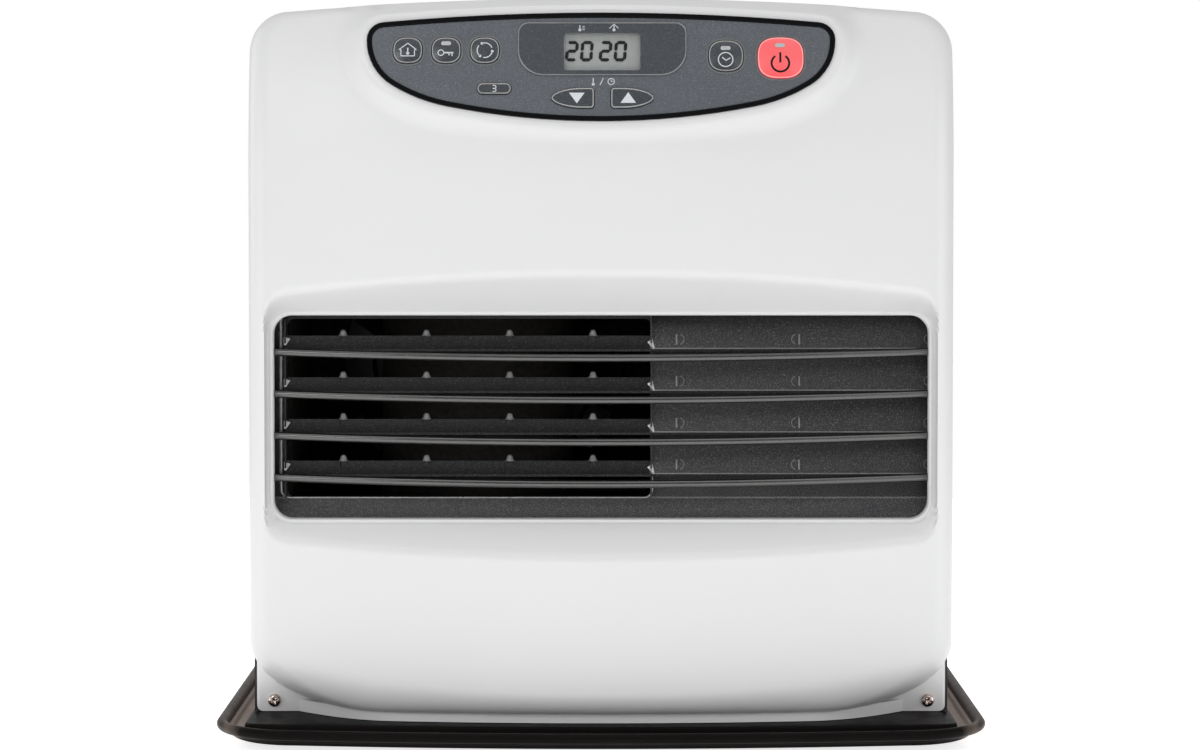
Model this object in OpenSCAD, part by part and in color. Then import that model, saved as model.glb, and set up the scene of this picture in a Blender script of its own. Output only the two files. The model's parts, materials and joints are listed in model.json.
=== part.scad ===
// Paraffin heater, fan forced, on its drip tray.
// The origin is on the floor at the middle of the tray, the front faces -Y and +Z is up. All sizes are millimetres.

/* [Tray] */
// Width of the tray over its rolled rim
tray_w = 460.4; // [454:0.2:475]
// Depth of the tray over its rolled rim
tray_d = 328; // [324:1:345]
// Height of the rim above the floor
rim_h = 15; // [13.5:0.5:18]
// Radius of the tray's corners in plan
tray_corner_r = 50; // [36:1:60]
// How far the middle of the tray's front edge stands ahead of its corners
tray_bow = 10.7; // [6:0.1:14]
// Height of the raised platform that the body stands on
platform_h = 12.4; // [11:0.2:13]
// Thickness of the pressed tray
tray_t = 1.2; // [0.8:0.1:1.6]
// Diameter of each rubber foot
foot_d = 26; // [18:1:34]

/* [Body] */
// Width of the front panel
body_w = 423.4; // [421:0.2:426]
// Height of the crest of the front panel
total_h = 444.5; // [438:0.5:460]
// Distance from the middle of the tray to the middle of the face
face_y = 126; // [122:1:130]
// Radius of the shallow curve across the face
face_bow_r = 1050; // [850:50:1500]
// Radius of the upright front corners
edge_r = 14; // [10:1:18]
// Radius of the upper corners seen from the front
shoulder_r = 24; // [20:1:28]
// How far the crest rises above the flat top
crest_rise = 7; // [5:0.5:8]
// Thickness of the sheet steel
sheet_t = 1; // [0.8:0.1:1.4]
// Distance from the middle of the tray to the seam behind the front panel
seam_y = 61.6; // [58:0.2:64]
// Distance from the middle of the tray to the outside of the back
rear_y = 128; // [126:0.5:132]
// How far the side casing stands inside the front panel's sides
casing_step = 1.5; // [1.2:0.1:2]
// Running clearance between neighbouring pieces
gap = 0.3; // [0.2:0.05:0.4]

/* [Grille] */
// Height of the middle of the opening in the face
opening_z = 193.5; // [189:0.5:197]
// Width of the opening
opening_w = 396; // [380:1:398]
// Height of the opening
opening_h = 124; // [117:1:129]
// Corner radius of the opening
opening_r = 12; // [8:1:14]
// Depth of the dish from the middle of the face to the opening
dish_d = 36; // [30:1:38]
// Number of guard rods
rod_count = 4; // [3:1:4]
// Diameter of a guard rod
rod_d = 4.8; // [3:0.2:6]
// Distance from one guard rod to the next
rod_pitch = 25.3; // [23:0.1:26]
// How far the middle of a rod stands ahead of its ends
rod_bow = 10.5; // [6:0.5:12]
// How far the middle of a rod hangs below its ends
rod_sag = 3.2; // [1:0.2:4]

/* [Control panel] */
// Distance from the crest down to the middle of the control panel
panel_drop = 40.5; // [39.5:0.5:42.5]
// Lean of the control panel
panel_tilt = 14; // [12:1:16]
// Width of the control panel
panel_w = 277.2; // [276:0.4:280]
// Travel of a key
key_travel = 1; // [0.6:0.1:1.2]
// Clearance round a key
key_gap = 0.3; // [0.2:0.05:0.5]

/* [Tank] */
// Width of the fuel tank
tank_w = 124; // [116:1:126]
// Depth of the fuel tank
tank_d = 118; // [110:1:120]
// Diameter of the tank cap
cap_d = 44; // [36:1:46]

/* [Warm air] */
// Diameter of the circulation fan
fan_d = 176; // [160:2:180]
// Number of fan blades
blade_count = 5; // [3:1:7]
// Diameter of the combustion chamber
chamber_d = 120; // [100:2:126]
// Outer diameter of the burner pot
pot_d = 92; // [80:2:96]
// Bore of the cord gland
gland_bore = 7.2; // [6:0.2:8.4]

/* [Hidden] */
$fn = 48;

// Tray levels and outline
tray_half = tray_w / 2;
tray_y = tray_d / 2;
rim_r = 3.2;
trough_z = 5.4;
trough_w = 13;
platform_half = body_w / 2 + 0.3;
platform_front = face_y;
platform_bow = 10;
platform_back = rear_y + 5;
platform_r = 8;
foot_x = 184;
foot_y = 100;

// Body levels and outline
body_half = body_w / 2;
flat_top = total_h - crest_rise;
shoulder_x = body_half - shoulder_r;
shoulder_z = flat_top - shoulder_r;
crest_r = shoulder_x * shoulder_x / (2 * crest_rise);
skirt_in = 11;
skirt_top = 18;
skirt_turn = 125;
skirt_foot = platform_h + gap;
hem_z = 32;
hem_grow = 14;
flank_z = 59.5;
flank_rx = 68;
flank_ry = 43;
flank_r = 18;
lean_start = total_h - 104.5;
lean_r = 280;
top_edge_r = 8;
flange_y = face_y - 52;
flange_half = body_half - 2.1;
flange_x = 184;
flange_r = 3.7;
flange_top = 66;
screw_x = flange_half - 10.6;
screw_z = platform_h + 7;
screw_head_r = 4;
screw_head_h = 2.4;
screw_shank_r = 1.9;
casing_half = body_half - casing_step;
casing_r = 12;
deck_z = platform_h + gap;
deck_top = deck_z + sheet_t;
cover_t = casing_step - gap;
cover_skirt = 33;
casing_top = shoulder_z;
inside_x = casing_half - sheet_t;
inside_y = rear_y - sheet_t;
back_half = casing_half - 26;
lip_w = 10;
lip_low = 36;
screw_hole_r = 1.7;
edge_screw_x = 190;
base_screw_z = 24;
seam_screw_x = back_half - 5;
seam_screw_z = [80, 330, casing_top - 4];

// Grille
opening_y = face_y - dish_d;
dish_rise_top = 25;
dish_rise_low = 18.3;
dish_reach = 14;
dish_r = 14;
rod_y = opening_y - 5;
rod_half = opening_w / 2 + 1.6;
rod_mid_z = opening_z + 1.3;
rod_rise = sqrt(rod_bow * rod_bow + rod_sag * rod_sag);
rod_arc_r = (rod_half * rod_half + rod_rise * rod_rise) / (2 * rod_rise);
louvre_t = 1;
louvre_y = opening_y - 20;
louvre_half = opening_w / 2 + 3;
louvre_low = opening_z - opening_h / 2 - 4;
louvre_high = opening_z + opening_h / 2 + 4;
window_x0 = -191;
window_x1 = 31;
window_low = 143;
window_high = 252;
window_r = 5;
step_depth = 8;
blade_rise = 8;
bump_r = 2.4;
bump_pitch = 50.5;
bump_count = 4;
bump_x0 = -156.4;

// Control panel outline, in the plane of the panel
panel_y = face_y - 7.4;
panel_z = total_h - panel_drop;
panel_half = panel_w / 2;
panel_low = -34;
panel_high = 32.5;
low_r = 459;
low_turn = 11.4;
end_r = 32.2;
corner_r = 10.5;
high_r = 1407;
low_cv = panel_low + low_r;
end_u = panel_half - end_r;
end_v = 15.35605;
low_dir = [sin(low_turn), -cos(low_turn)];
end_at = [end_u, end_v - low_cv];
mid_r = (end_r * end_r - low_r * low_r + 2 * low_r * (low_dir * end_at) - end_at * end_at)
    / (2 * (end_r - low_r + low_dir * end_at));
mid_u = (low_r - mid_r) * sin(low_turn);
mid_v = low_cv - (low_r - mid_r) * cos(low_turn);
mid_turn = asin((end_u - mid_u) / (mid_r - end_r));
high_cv = panel_high - high_r;
corner_u = panel_half - corner_r;
corner_v = high_cv + sqrt(pow(high_r - corner_r, 2) - corner_u * corner_u);
high_turn = atan2(corner_u, corner_v - high_cv);
bezel_w = 3;
bezel_front = 1;
pad_t = 1.2;
fascia_front = 0.2;
fascia_t = 2.5;
fascia_back = fascia_front - fascia_t;
key_front = 1.2;
key_flange = 1.2;
key_flange_t = 1.5;
switch_h = 2.4;
board_t = 1.6;
plunger_r = 2;
plunger_end = fascia_back - 5.7;
switch_top = plunger_end - key_travel - 0.2;
board_front = switch_top - switch_h;
display_u = 0.6;
display_v = 8.4;
display_w = 46.3;
display_h = 23.8;
frame_u = 0.7;
frame_v = 10.1;
frame_w = 99.9;
frame_h = 32.7;
frame_t = 0.7;

// Keys: middle across, middle up, width, height, corner radius
save_key = [-114.2, 9.1, 17.5, 16.2, 6.4];
lock_key = [-91.5, 9.1, 17.5, 16.2, 6.4];
vent_key = [-68.7, 9.1, 17.5, 16.2, 6.4];
timed_off_key = [-63, -14.3, 20, 6.7, 3.3];
timer_key = [73.8, 5.7, 20.8, 19.3, 7.2];
power_key = [106.1, 4.5, 27.5, 25.4, 8];
arrow_v = -20;
arrow_u = 17.6;
arrow_mid = 0.9;
arrow_w = 25.3;
arrow_h = 12.4;
arrow_r = 2;
arrow_taper = 18;
led_w = 5.9;
led_h = 2.4;
led_spots = [[-91.5, 13.3], [73.6, 10.4], [105.8, 12.1]];
boss_spots = [[-128, 14], [128, 14], [-45, -22], [45, -22]];
boss_r = 2.8;

// Tank and lid
tank_x0 = body_half - 152.7;
tank_x1 = tank_x0 + tank_w;
tank_x = (tank_x0 + tank_x1) / 2;
tank_y0 = -34;
tank_y1 = tank_y0 + tank_d;
tank_y = (tank_y0 + tank_y1) / 2;
tank_t = 0.8;
tank_r = 10;
tank_top = flat_top - 33.5;
sump_top = 72;
sump_low = 30;
sump_t = 1;
sump_roof = 2.5;
sump_wall = 3;
cap_r = cap_d / 2;
cap_h = 21;
neck_r = cap_r - 5;
well_r = cap_r + 6;
tank_low = sump_top + gap;
handle_r = 2;
handle_half = 28;
handle_z = tank_top + 5;
handle_len = 21;
lug_t = 4;
lid_gap = 0.8;
lid_t = 2.2;
lid_z = flat_top - lid_t;
lid_x0 = tank_x0 - 4;
lid_x1 = tank_x1 + 4;
lid_y0 = tank_y0 - 4;
lid_y1 = tank_y1 + 14;
lid_back = tank_y1 + 5;
ledge_t = 2;
ledge_top = lid_z - gap;
hinge_y = tank_y1 + 9;
hinge_z = flat_top - 3.3;
knuckle_r = 3;
pin_r = 1.5;
pin_fit = 0.06;
hinge_floor = hinge_z - 4.4;

// Warm air, burner and fans
duct_x0 = -192;
duct_x1 = 36;
duct_front = louvre_y - 9.5;
duct_back = rear_y - 36;
duct_low = 112;
duct_high = 332;
duct_t = 1;
burner_x = (duct_x0 + duct_x1) / 2;
burner_y = 5;
pot_r = pot_d / 2;
pot_low = 60;
pot_t = 1.5;
chamber_r = chamber_d / 2;
chamber_top = 296;
fan_z = 215;
fan_r = fan_d / 2;
fan_hole_r = fan_r + 8;
hub_r = 16;
blade_t = 1.4;
blade_depth = 14;
fan_y = duct_back - 8;
shaft_r = 2.5;
shaft_fit = 0.06;
motor_r = 30;
motor_y0 = fan_y + 16;
bracket_t = 2.2;
bracket_y = inside_y - gap - bracket_t;
motor_y1 = bracket_y - 0.2;
guard_wire = 1.2;
guard_rim_r = fan_hole_r + 5;
guard_y = rear_y + 17;
filter_half = guard_rim_r + 5;
filter_t = 4.5;
filter_y = guard_y + guard_wire + 1.5;
filter_low = fan_z - filter_half;
rail_w = 4;
blower_x = -135;
blower_y = 74;
blower_r = 46;
blower_low = deck_top + gap + 8;
blower_h = 38;
blower_t = 1.5;
impeller_r = 34;
impeller_h = 26;
vane_count = 24;
gland_x = -150;
gland_z = 48;
gland_r = 8;

// Points round an arc of n steps about a centre
function arc(cx, cy, r, a0, a1, n, skip = 0, drop = 0) = [for (i = [skip:n - drop])
    let (a = a0 + (a1 - a0) * i / n) [cx + r * cos(a), cy + r * sin(a)]];
function clamp(v, low, high) = min(max(v, low), high);
function smooth(v) = let (s = clamp(v, 0, 1)) s * s * (3 - 2 * s);
function raise(ring, z) = [for (p = ring) [p[0], p[1], z]];

// Rounded rectangle in plan whose front edge may bow forward
function plan_ring(half, front, back, r, bow) = concat(
    arc(-half + r, -front + bow + r, r, 180, 270, 6),
    [for (i = [1:7]) let (s = -1 + i / 4) [s * (half - r), -front + bow * s * s]],
    arc(half - r, -front + bow + r, r, 270, 360, 6),
    arc(half - r, back - r, r, 0, 90, 6),
    arc(-half + r, back - r, r, 90, 180, 6));

// Solid through a stack of rings with the same number of points, lowest ring first
module loft(rings) {
    n = len(rings[0]);
    last = len(rings) - 1;
    walls = [for (k = [0:last - 1]) for (i = [0:n - 1]) let (j = (i + 1) % n, a = k * n, b = a + n)
        each [[a + i, b + i, b + j], [a + i, b + j, a + j]]];
    floor_face = [for (i = [0:n - 1]) i];
    roof_face = [for (i = [0:n - 1]) last * n + n - 1 - i];
    polyhedron(points = [for (ring = rings) each ring], faces = concat([floor_face], walls, [roof_face]));
}

module round_rect(w, h, r) {
    square([w - 2 * r, h], center = true);
    square([w, h - 2 * r], center = true);
    for (x = [-1, 1], y = [-1, 1]) translate([x * (w / 2 - r), y * (h / 2 - r)]) circle(r = r);
}

module box(low, high) {
    translate(low) cube(high - low);
}

// Upright box with rounded upright edges
module round_box(low, high, r) {
    mid = (low + high) / 2;
    translate([mid[0], mid[1], low[2]]) linear_extrude(high[2] - low[2])
        round_rect(high[0] - low[0], high[1] - low[1], r);
}

// Cylinder along Y from y0 to y1
module rod_y(x, z, r, y0, y1) {
    translate([x, y1, z]) rotate([90, 0, 0]) cylinder(r = r, h = y1 - y0);
}

// Cylinder along X from x0 to x1
module rod_x(y, z, r, x0, x1) {
    translate([x0, y, z]) rotate([0, 90, 0]) cylinder(r = r, h = x1 - x0);
}

// Profile drawn as Y across and Z up, extruded along X
module along_x(x0, x1) {
    translate([x0, 0, 0]) rotate([90, 0, 90]) linear_extrude(x1 - x0) children();
}

// Profile drawn as X across and Z up, extruded along Y
module along_y(y0, y1) {
    translate([0, y1, 0]) rotate([90, 0, 0]) linear_extrude(y1 - y0) children();
}

// Round tube through a list of points, with ball joints at its bends
module bent_rod(points, r) {
    for (i = [0:len(points) - 2]) {
        d = points[i + 1] - points[i];
        translate(points[i]) rotate([0, acos(d[2] / norm(d)), atan2(d[1], d[0])]) cylinder(r = r, h = norm(d));
        if (i > 0) translate(points[i]) sphere(r = r);
    }
}

// Places its children on the leaning control panel: u across, v up, w outward
module at_panel(u = 0, v = 0, w = 0) {
    translate([0, -panel_y, panel_z]) rotate([90 - panel_tilt, 0, 0]) translate([u, v, w]) children();
}

// Tray
function rim_ring(inset, z) = raise(plan_ring(tray_half - inset, tray_y - inset, tray_y - inset,
    tray_corner_r - inset, tray_bow), z);
function platform_ring(grow, z) = raise(plan_ring(platform_half + grow, platform_front + grow,
    platform_back + grow, platform_r + grow, platform_bow), z);

module tray() {
    rim_mid = rim_h - rim_r;
    rim_over = [for (a = [-60:30:210]) rim_ring(rim_r - rim_r * cos(a), rim_mid + rim_r * sin(a))];
    color([0.07, 0.07, 0.075]) loft(concat(
        [platform_ring(0, platform_h - tray_t),
         platform_ring(0.4, trough_z - tray_t),
         rim_ring(trough_w, trough_z - tray_t),
         rim_ring(trough_w - 3.5, trough_z - tray_t + 0.8),
         rim_ring(2 * rim_r + 0.6, rim_mid - rim_r + 1.4)],
        [for (k = [0:len(rim_over) - 1]) rim_over[k]],
        [rim_ring(trough_w - 4, trough_z + 0.8),
         rim_ring(trough_w, trough_z),
         platform_ring(1.6, trough_z),
         platform_ring(1.2, platform_h - 1),
         platform_ring(0, platform_h)]));
}

module tray_feet() {
    for (x = [-1, 1], y = [-1, 1]) color([0.05, 0.05, 0.05]) translate([x * foot_x, y * foot_y, 0]) {
        cylinder(r1 = foot_d / 2 - 1.5, r2 = foot_d / 2, h = 3);
        translate([0, 0, 3]) cylinder(r = foot_d / 2, h = platform_h - tray_t - 3);
    }
}

// Chassis
module base_frame() {
    post_y = flange_y - sheet_t - 0.6;
    wall_half = inside_x - gap;
    back_wall = inside_y - gap;
    color([0.09, 0.09, 0.095]) difference() {
        union() {
            box([-wall_half, -post_y, deck_z], [wall_half, back_wall, deck_top]);
            for (s = [-1, 1]) {
                box([s > 0 ? wall_half - sheet_t : -wall_half, -post_y, deck_z],
                    [s > 0 ? wall_half : -wall_half + sheet_t, back_wall, 40]);
                box([s > 0 ? flange_x + 2 : -flange_half - 1.6, -post_y, deck_z],
                    [s > 0 ? flange_half + 1.6 : -flange_x - 2, -post_y + sheet_t, flank_z - 1]);
            }
            box([-wall_half, back_wall - sheet_t, deck_z], [wall_half, back_wall, 34]);
            box([-wall_half, -post_y, deck_z], [wall_half, -post_y + sheet_t, 26]);
        }
        for (s = [-1, 1]) {
            rod_y(s * screw_x, screw_z, screw_shank_r + 0.1, -flange_y, -flange_y + 6);
            scale([s, 1, 1]) translate([inside_x - casing_r + sheet_t, inside_y - casing_r + sheet_t, deck_z - 1])
                difference() {
                    cube([casing_r, casing_r, 40]);
                    cylinder(r = casing_r - sheet_t - gap, h = 40);
                }
        }
        for (x = [-edge_screw_x, -70, 60, edge_screw_x]) rod_y(x, base_screw_z, screw_hole_r, inside_y - 4, inside_y);
        translate([-40, 20, deck_z - 1]) cylinder(r = 14, h = 4);
    }
}

// Front panel: how the outer form changes with height
function form_half(z) = z < flank_z
    ? body_half - flank_rx + flank_rx * sqrt(1 - pow((flank_z - z) / flank_ry, 2))
    : z <= shoulder_z ? body_half
    : z <= flat_top ? shoulder_x + sqrt(shoulder_r * shoulder_r - pow(z - shoulder_z, 2))
    : sqrt(2 * crest_r * max(total_h - z, 0));
function form_lean(z) = z < lean_start ? 0 : lean_r - sqrt(lean_r * lean_r - pow(z - lean_start, 2));
function form_edge(z) = let (d = z - (total_h - top_edge_r)) d <= 0 ? 0
    : top_edge_r - sqrt(max(top_edge_r * top_edge_r - d * d, 0));
function form_front(z) = face_y - form_lean(z) - form_edge(z);
function form_corner(z) = edge_r + (z < flank_z ? flank_r * pow((flank_z - z) / (flank_z - skirt_top), 1.2) : 0);

// Plan of the face at one level: bowed front, tangent corners, straight sides back to y_back
function face_plan(half, front, r, y_back) = let (
    cy = -front + face_bow_r,
    fy = cy - sqrt(pow(face_bow_r - r, 2) - pow(half - r, 2)),
    turn = atan2(half - r, cy - fy))
    concat([[-half, y_back]],
        arc(-half + r, fy, r, 180, 270 - turn, 5),
        [for (i = [1:9]) let (a = 270 - turn + turn * i / 5) [face_bow_r * cos(a), cy + face_bow_r * sin(a)]],
        arc(half - r, fy, r, 270 + turn, 360, 5),
        [[half, y_back]]);

upper_levels = [flank_z, 200, 340, 356, 372, 388, 402, 413.5, 420, 426, 431, 434.5, 436.6, 437.5, 438.8, 440.2, 441.6,
    443, 444.1];
lower_levels = [18, 18.4, 19.2, 20.6, 22.6, 25.4, 28.6, 32.4, 37, 42, 47, 52, 56];
function level(z) = z < 340 ? z : z - 340 + lean_start;

// Under the face the sheet turns back to the skirt, which runs bowed in the middle and sweeps back to the corner flanges
function skirt_y(x) = let (mid = face_y - skirt_in - x * x / (2 * face_bow_r))
    mid - (mid - flange_y) * pow(clamp((abs(x) - skirt_turn) / (flange_x - skirt_turn), 0, 1), 2.2);
function skirt_strip() = let (n = 30, w = flange_x + 2) concat(
    [for (i = [-n:n]) let (x = w * i / n) [x, -skirt_y(x) - 0.15]],
    [for (i = [n:-1:-n]) let (x = w * i / n) [x, -skirt_y(x) + sheet_t]]);
function hem_start(x) = min(hem_z + hem_grow * pow(abs(x) / 160, 2.5), flank_z - 4);
function tuck(x, z) = let (
    start = hem_start(x),
    s = clamp((start - z) / (start - skirt_top), 0, 1),
    face_d = face_y - x * x / (2 * face_bow_r) - flange_y,
    skirt_d = skirt_y(x) - flange_y)
    1 - (1 - sqrt(1 - s * s)) * (1 - skirt_d / face_d);

// One ring of the form, drawn in by t, which also lowers the top by t
function form_ring(z, t, y_back) = let (
    up = smooth((z - shoulder_z) / (flat_top - shoulder_z)),
    half = max(form_half(z) - t * (1 - up), 12),
    r = min(form_corner(z) - t, half - 1))
    raise(face_plan(half, form_front(z) - t, max(r, 2), y_back), z - t * up);
function low_ring(z, t, y_back) = [for (p = form_ring(max(z, skirt_top), t, y_back))
    -p[1] + t > flange_y ? [p[0], t - flange_y + (p[1] - t + flange_y) * tuck(p[0], z), z + t] : [p[0], p[1], z + t]];

module form(t, y_back, z_low) {
    loft(concat([raise([for (p = low_ring(skirt_top, t, y_back)) [p[0], p[1]]], z_low)],
        [for (z = lower_levels) low_ring(z, t, y_back)],
        [form_ring(flank_z, t, y_back)]));
    for (k = [0:len(upper_levels) - 2]) hull() loft([form_ring(level(upper_levels[k]), t, y_back),
        form_ring(level(upper_levels[k + 1]), t, y_back)]);
}

// Recess round the grille, wider by g all round
module dish(g) {
    low = opening_z - opening_h / 2;
    high = opening_z + opening_h / 2;
    mouth = dish_reach / dish_d;
    hull() {
        along_y(-opening_y - g - 0.1, -opening_y + g) translate([0, opening_z])
            round_rect(opening_w + 3 + 2 * g, opening_h + 3 + 2 * g, opening_r + 1.5 + g);
        along_y(-face_y - dish_reach - 0.1, -face_y - dish_reach)
            translate([0, (low + high + (dish_rise_top - dish_rise_low) * (1 + mouth)) / 2])
            round_rect(opening_w + 9 + 2 * g,
                opening_h + (dish_rise_top + dish_rise_low) * (1 + mouth) + 2 * g, dish_r + g);
    }
}

// Outline of the control panel, wider by g all round
function smile(g) = concat(
    arc(0, low_cv, low_r + g, 270 - low_turn, 270 + low_turn, 16),
    arc(mid_u, mid_v, mid_r + g, 270 + low_turn, 270 + mid_turn, 6, 1),
    arc(end_u, end_v, end_r + g, 270 + mid_turn, 360, 8, 1),
    arc(corner_u, corner_v, corner_r + g, 0, 90 - high_turn, 6),
    arc(0, high_cv, high_r + g, 90 - high_turn, 90 + high_turn, 12, 1),
    arc(-corner_u, corner_v, corner_r + g, 90 + high_turn, 180, 6, 1),
    arc(-end_u, end_v, end_r + g, 180, 270 - mid_turn, 8),
    arc(-mid_u, mid_v, mid_r + g, 270 - mid_turn, 270 - low_turn, 6, 1, 1));

// Raised pad under the control panel, drawn in by t
module pad(t) {
    hull() {
        at_panel(0, 0, -0.4 - t) linear_extrude(0.4) polygon(smile(5 - t));
        at_panel(0, -1, -10 - 2 * t) linear_extrude(0.4) polygon(smile(15 - t));
    }
}

module front_panel() {
    color([0.93, 0.93, 0.93]) difference() {
        union() {
            difference() {
                form(0, -seam_y, skirt_foot + 0.05);
                dish(0);
            }
            pad(0);
            translate([0, 0, skirt_foot + 0.1]) linear_extrude(skirt_top + 2 - skirt_foot) polygon(skirt_strip());
            for (s = [-1, 1]) along_y(-flange_y, -flange_y + sheet_t) scale([s, 1]) hull() {
                translate([flange_half - flange_r, skirt_foot + flange_r]) circle(r = flange_r);
                translate([flange_x - 1, skirt_foot]) square([4, 6]);
                translate([flange_half - 4, flange_top - 4]) square([4, 4]);
                translate([body_half - flank_rx, skirt_top + 2]) square([4, flange_top - skirt_top - 2]);
            }
        }
        difference() {
            union() {
                form(sheet_t, -seam_y + 20, skirt_foot - 4);
                pad(sheet_t);
            }
            dish(sheet_t);
            box([-shoulder_x, -seam_y - sheet_t, flat_top - 4], [shoulder_x, -seam_y + 30, total_h + 5]);
        }
        along_y(-face_y - 20, -opening_y + 20) translate([0, opening_z]) round_rect(opening_w, opening_h, opening_r);
        at_panel(0, 0, -20) linear_extrude(40) polygon(smile(0.2));
        box([-body_half - 1, -flange_y + sheet_t, 0], [body_half + 1, 0, flank_z]);
        for (s = [-1, 1]) rod_y(s * screw_x, screw_z, screw_shank_r + 0.2, -flange_y - 2, -flange_y + 4);
    }
}

module front_screws() {
    for (s = [-1, 1]) color([0.75, 0.72, 0.68]) difference() {
        union() {
            rod_y(s * screw_x, screw_z, screw_head_r, -flange_y - screw_head_h, -flange_y - 0.05);
            rod_y(s * screw_x, screw_z, screw_shank_r, -flange_y - 0.1, -flange_y + 8);
        }
        for (a = [0, 90]) translate([s * screw_x, -flange_y - screw_head_h, screw_z]) rotate([0, a, 0])
            cube([4.6, 2.4, 0.9], center = true);
    }
}

// Side and back casing, open at the front and the top
module casing_plan(t) {
    half = casing_half - t;
    back = rear_y - t;
    r = casing_r - t;
    translate([-half, -flange_y + 4]) square([2 * half, flange_y - 4 + back - r]);
    translate([-half + r, -flange_y + 4]) square([2 * (half - r), flange_y - 4 + back]);
    for (s = [-1, 1]) translate([s * (half - r), back - r]) circle(r = r);
}

grip_y0 = -8;
grip_y1 = 72;
grip_z0 = casing_top - 67.5;
grip_z1 = casing_top - 29.5;
grip_d = casing_half + duct_x0 - 0.5;

module side_panel(s) {
    lip_y = inside_y - sheet_t;
    color([0.9, 0.9, 0.9]) difference() {
        union() {
            translate([0, 0, deck_z]) linear_extrude(casing_top - deck_z) difference() {
                casing_plan(0);
                casing_plan(sheet_t);
                translate([-body_half, -flange_y - 1]) square([body_w, 7]);
                translate([s > 0 ? -body_half : -back_half, -flange_y]) square([body_half + back_half, rear_y + 80]);
            }
            scale([s, 1, 1]) {
                box([back_half - lip_w, lip_y, lip_low], [back_half + 3, inside_y - 0.05, casing_top]);
                box([back_half, lip_y, lip_low], [back_half + 3, inside_y + 0.2, casing_top]);
            }
        }
        scale([s, 1, 1]) {
            box([inside_x - 2, grip_y0, grip_z0], [casing_half + 2, grip_y1, grip_z1]);
            rod_y(edge_screw_x, base_screw_z, screw_hole_r, inside_y - 2, rear_y + 2);
            for (z = seam_screw_z) rod_y(seam_screw_x, z, screw_hole_r, inside_y - 2, rear_y + 2);
        }
    }
}

module side_panel_left() { side_panel(-1); }
module side_panel_right() { side_panel(1); }

module back_panel() {
    half = back_half - gap / 2;
    color([0.88, 0.88, 0.88]) difference() {
        box([-half, inside_y, deck_z], [half, rear_y, casing_top]);
        rod_y(burner_x, fan_z, fan_hole_r, inside_y - 2, rear_y + 2);
        rod_y(gland_x, gland_z, gland_r + 0.15, inside_y - 2, rear_y + 2);
        for (x = [-70, 60]) rod_y(x, base_screw_z, screw_hole_r, inside_y - 2, rear_y + 2);
        for (s = [-1, 1], z = seam_screw_z) rod_y(s * seam_screw_x, z, screw_hole_r, inside_y - 2, rear_y + 2);
        for (k = [0:5]) box([85, inside_y - 2, 150 + 14 * k], [165, rear_y + 2, 154 + 14 * k]);
    }
}

module pan_screw(x, z, y) {
    rod_y(x, z, 3.6, y + 0.05, y + 2.2);
    rod_y(x, z, 1.6, y - 8, y + 0.1);
}

module casing_screws() {
    color([0.72, 0.72, 0.72]) {
        for (x = [-edge_screw_x, -70, 60, edge_screw_x]) pan_screw(x, base_screw_z, rear_y);
        for (s = [-1, 1], z = [seam_screw_z[0], seam_screw_z[1]]) pan_screw(s * seam_screw_x, z, rear_y);
        for (s = [-1, 1]) pan_screw(s * seam_screw_x, seam_screw_z[2], rear_y + gap + cover_t);
    }
}

// Top cover with the tank lid's well and hinge trough
module shoulder_profile(t) {
    half = body_half - t;
    r = shoulder_r - t;
    top = flat_top - t;
    low = flat_top - cover_skirt - (t > 0 ? 1 : 0);
    translate([-half, low]) square([2 * half, top - r - low]);
    translate([-half + r, low]) square([2 * (half - r), top - low]);
    for (s = [-1, 1]) translate([s * (half - r), top - r]) circle(r = r);
}

module cover_form(t, y_front) {
    half = body_half - t;
    back = rear_y + gap + cover_t - t;
    r = casing_r + casing_step - t;
    intersection() {
        along_y(y_front, back + 1) shoulder_profile(t);
        translate([0, 0, flat_top - cover_skirt - (t > 0 ? 1 : 0)]) linear_extrude(cover_skirt + 4) {
            translate([-half, y_front]) square([2 * half, back - r - y_front]);
            translate([-half + r, y_front]) square([2 * (half - r), back - y_front]);
            for (s = [-1, 1]) translate([s * (half - r), back - r]) circle(r = r);
        }
    }
}

module top_cover() {
    back = rear_y + gap + cover_t;
    well = 1.8;
    color([0.92, 0.92, 0.92]) {
        difference() {
            union() {
                difference() {
                    cover_form(0, -seam_y + gap);
                    cover_form(cover_t, -seam_y - 1);
                }
                box([lid_x0 - well, lid_y0 - well, ledge_top - ledge_t], [lid_x1 + well, tank_y1 + well, flat_top]);
                box([lid_x0 - well, tank_y1, hinge_floor - ledge_t], [lid_x1 + well, lid_y1 + well, flat_top]);
            }
            box([lid_x0, lid_y0, ledge_top], [lid_x1, lid_y1, flat_top + 1]);
            box([tank_x0 - 0.4, tank_y0, hinge_floor - 9], [tank_x1 + 0.4, tank_y1, flat_top + 1]);
            box([lid_x0, tank_y1 + well, hinge_floor], [lid_x1, lid_y1, flat_top + 1]);
            for (s = [-1, 1]) rod_y(s * seam_screw_x, seam_screw_z[2], screw_hole_r, rear_y - 2, back + 2);
        }
        difference() {
            union() {
                rod_x(hinge_y, hinge_z, knuckle_r, tank_x - 14, tank_x + 14);
                box([tank_x - 14, hinge_y - 1.6, hinge_floor - 1], [tank_x + 14, hinge_y + 1.6, hinge_z]);
            }
            rod_x(hinge_y, hinge_z, pin_r + 0.02, tank_x - 20, tank_x + 20);
        }
    }
}

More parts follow.
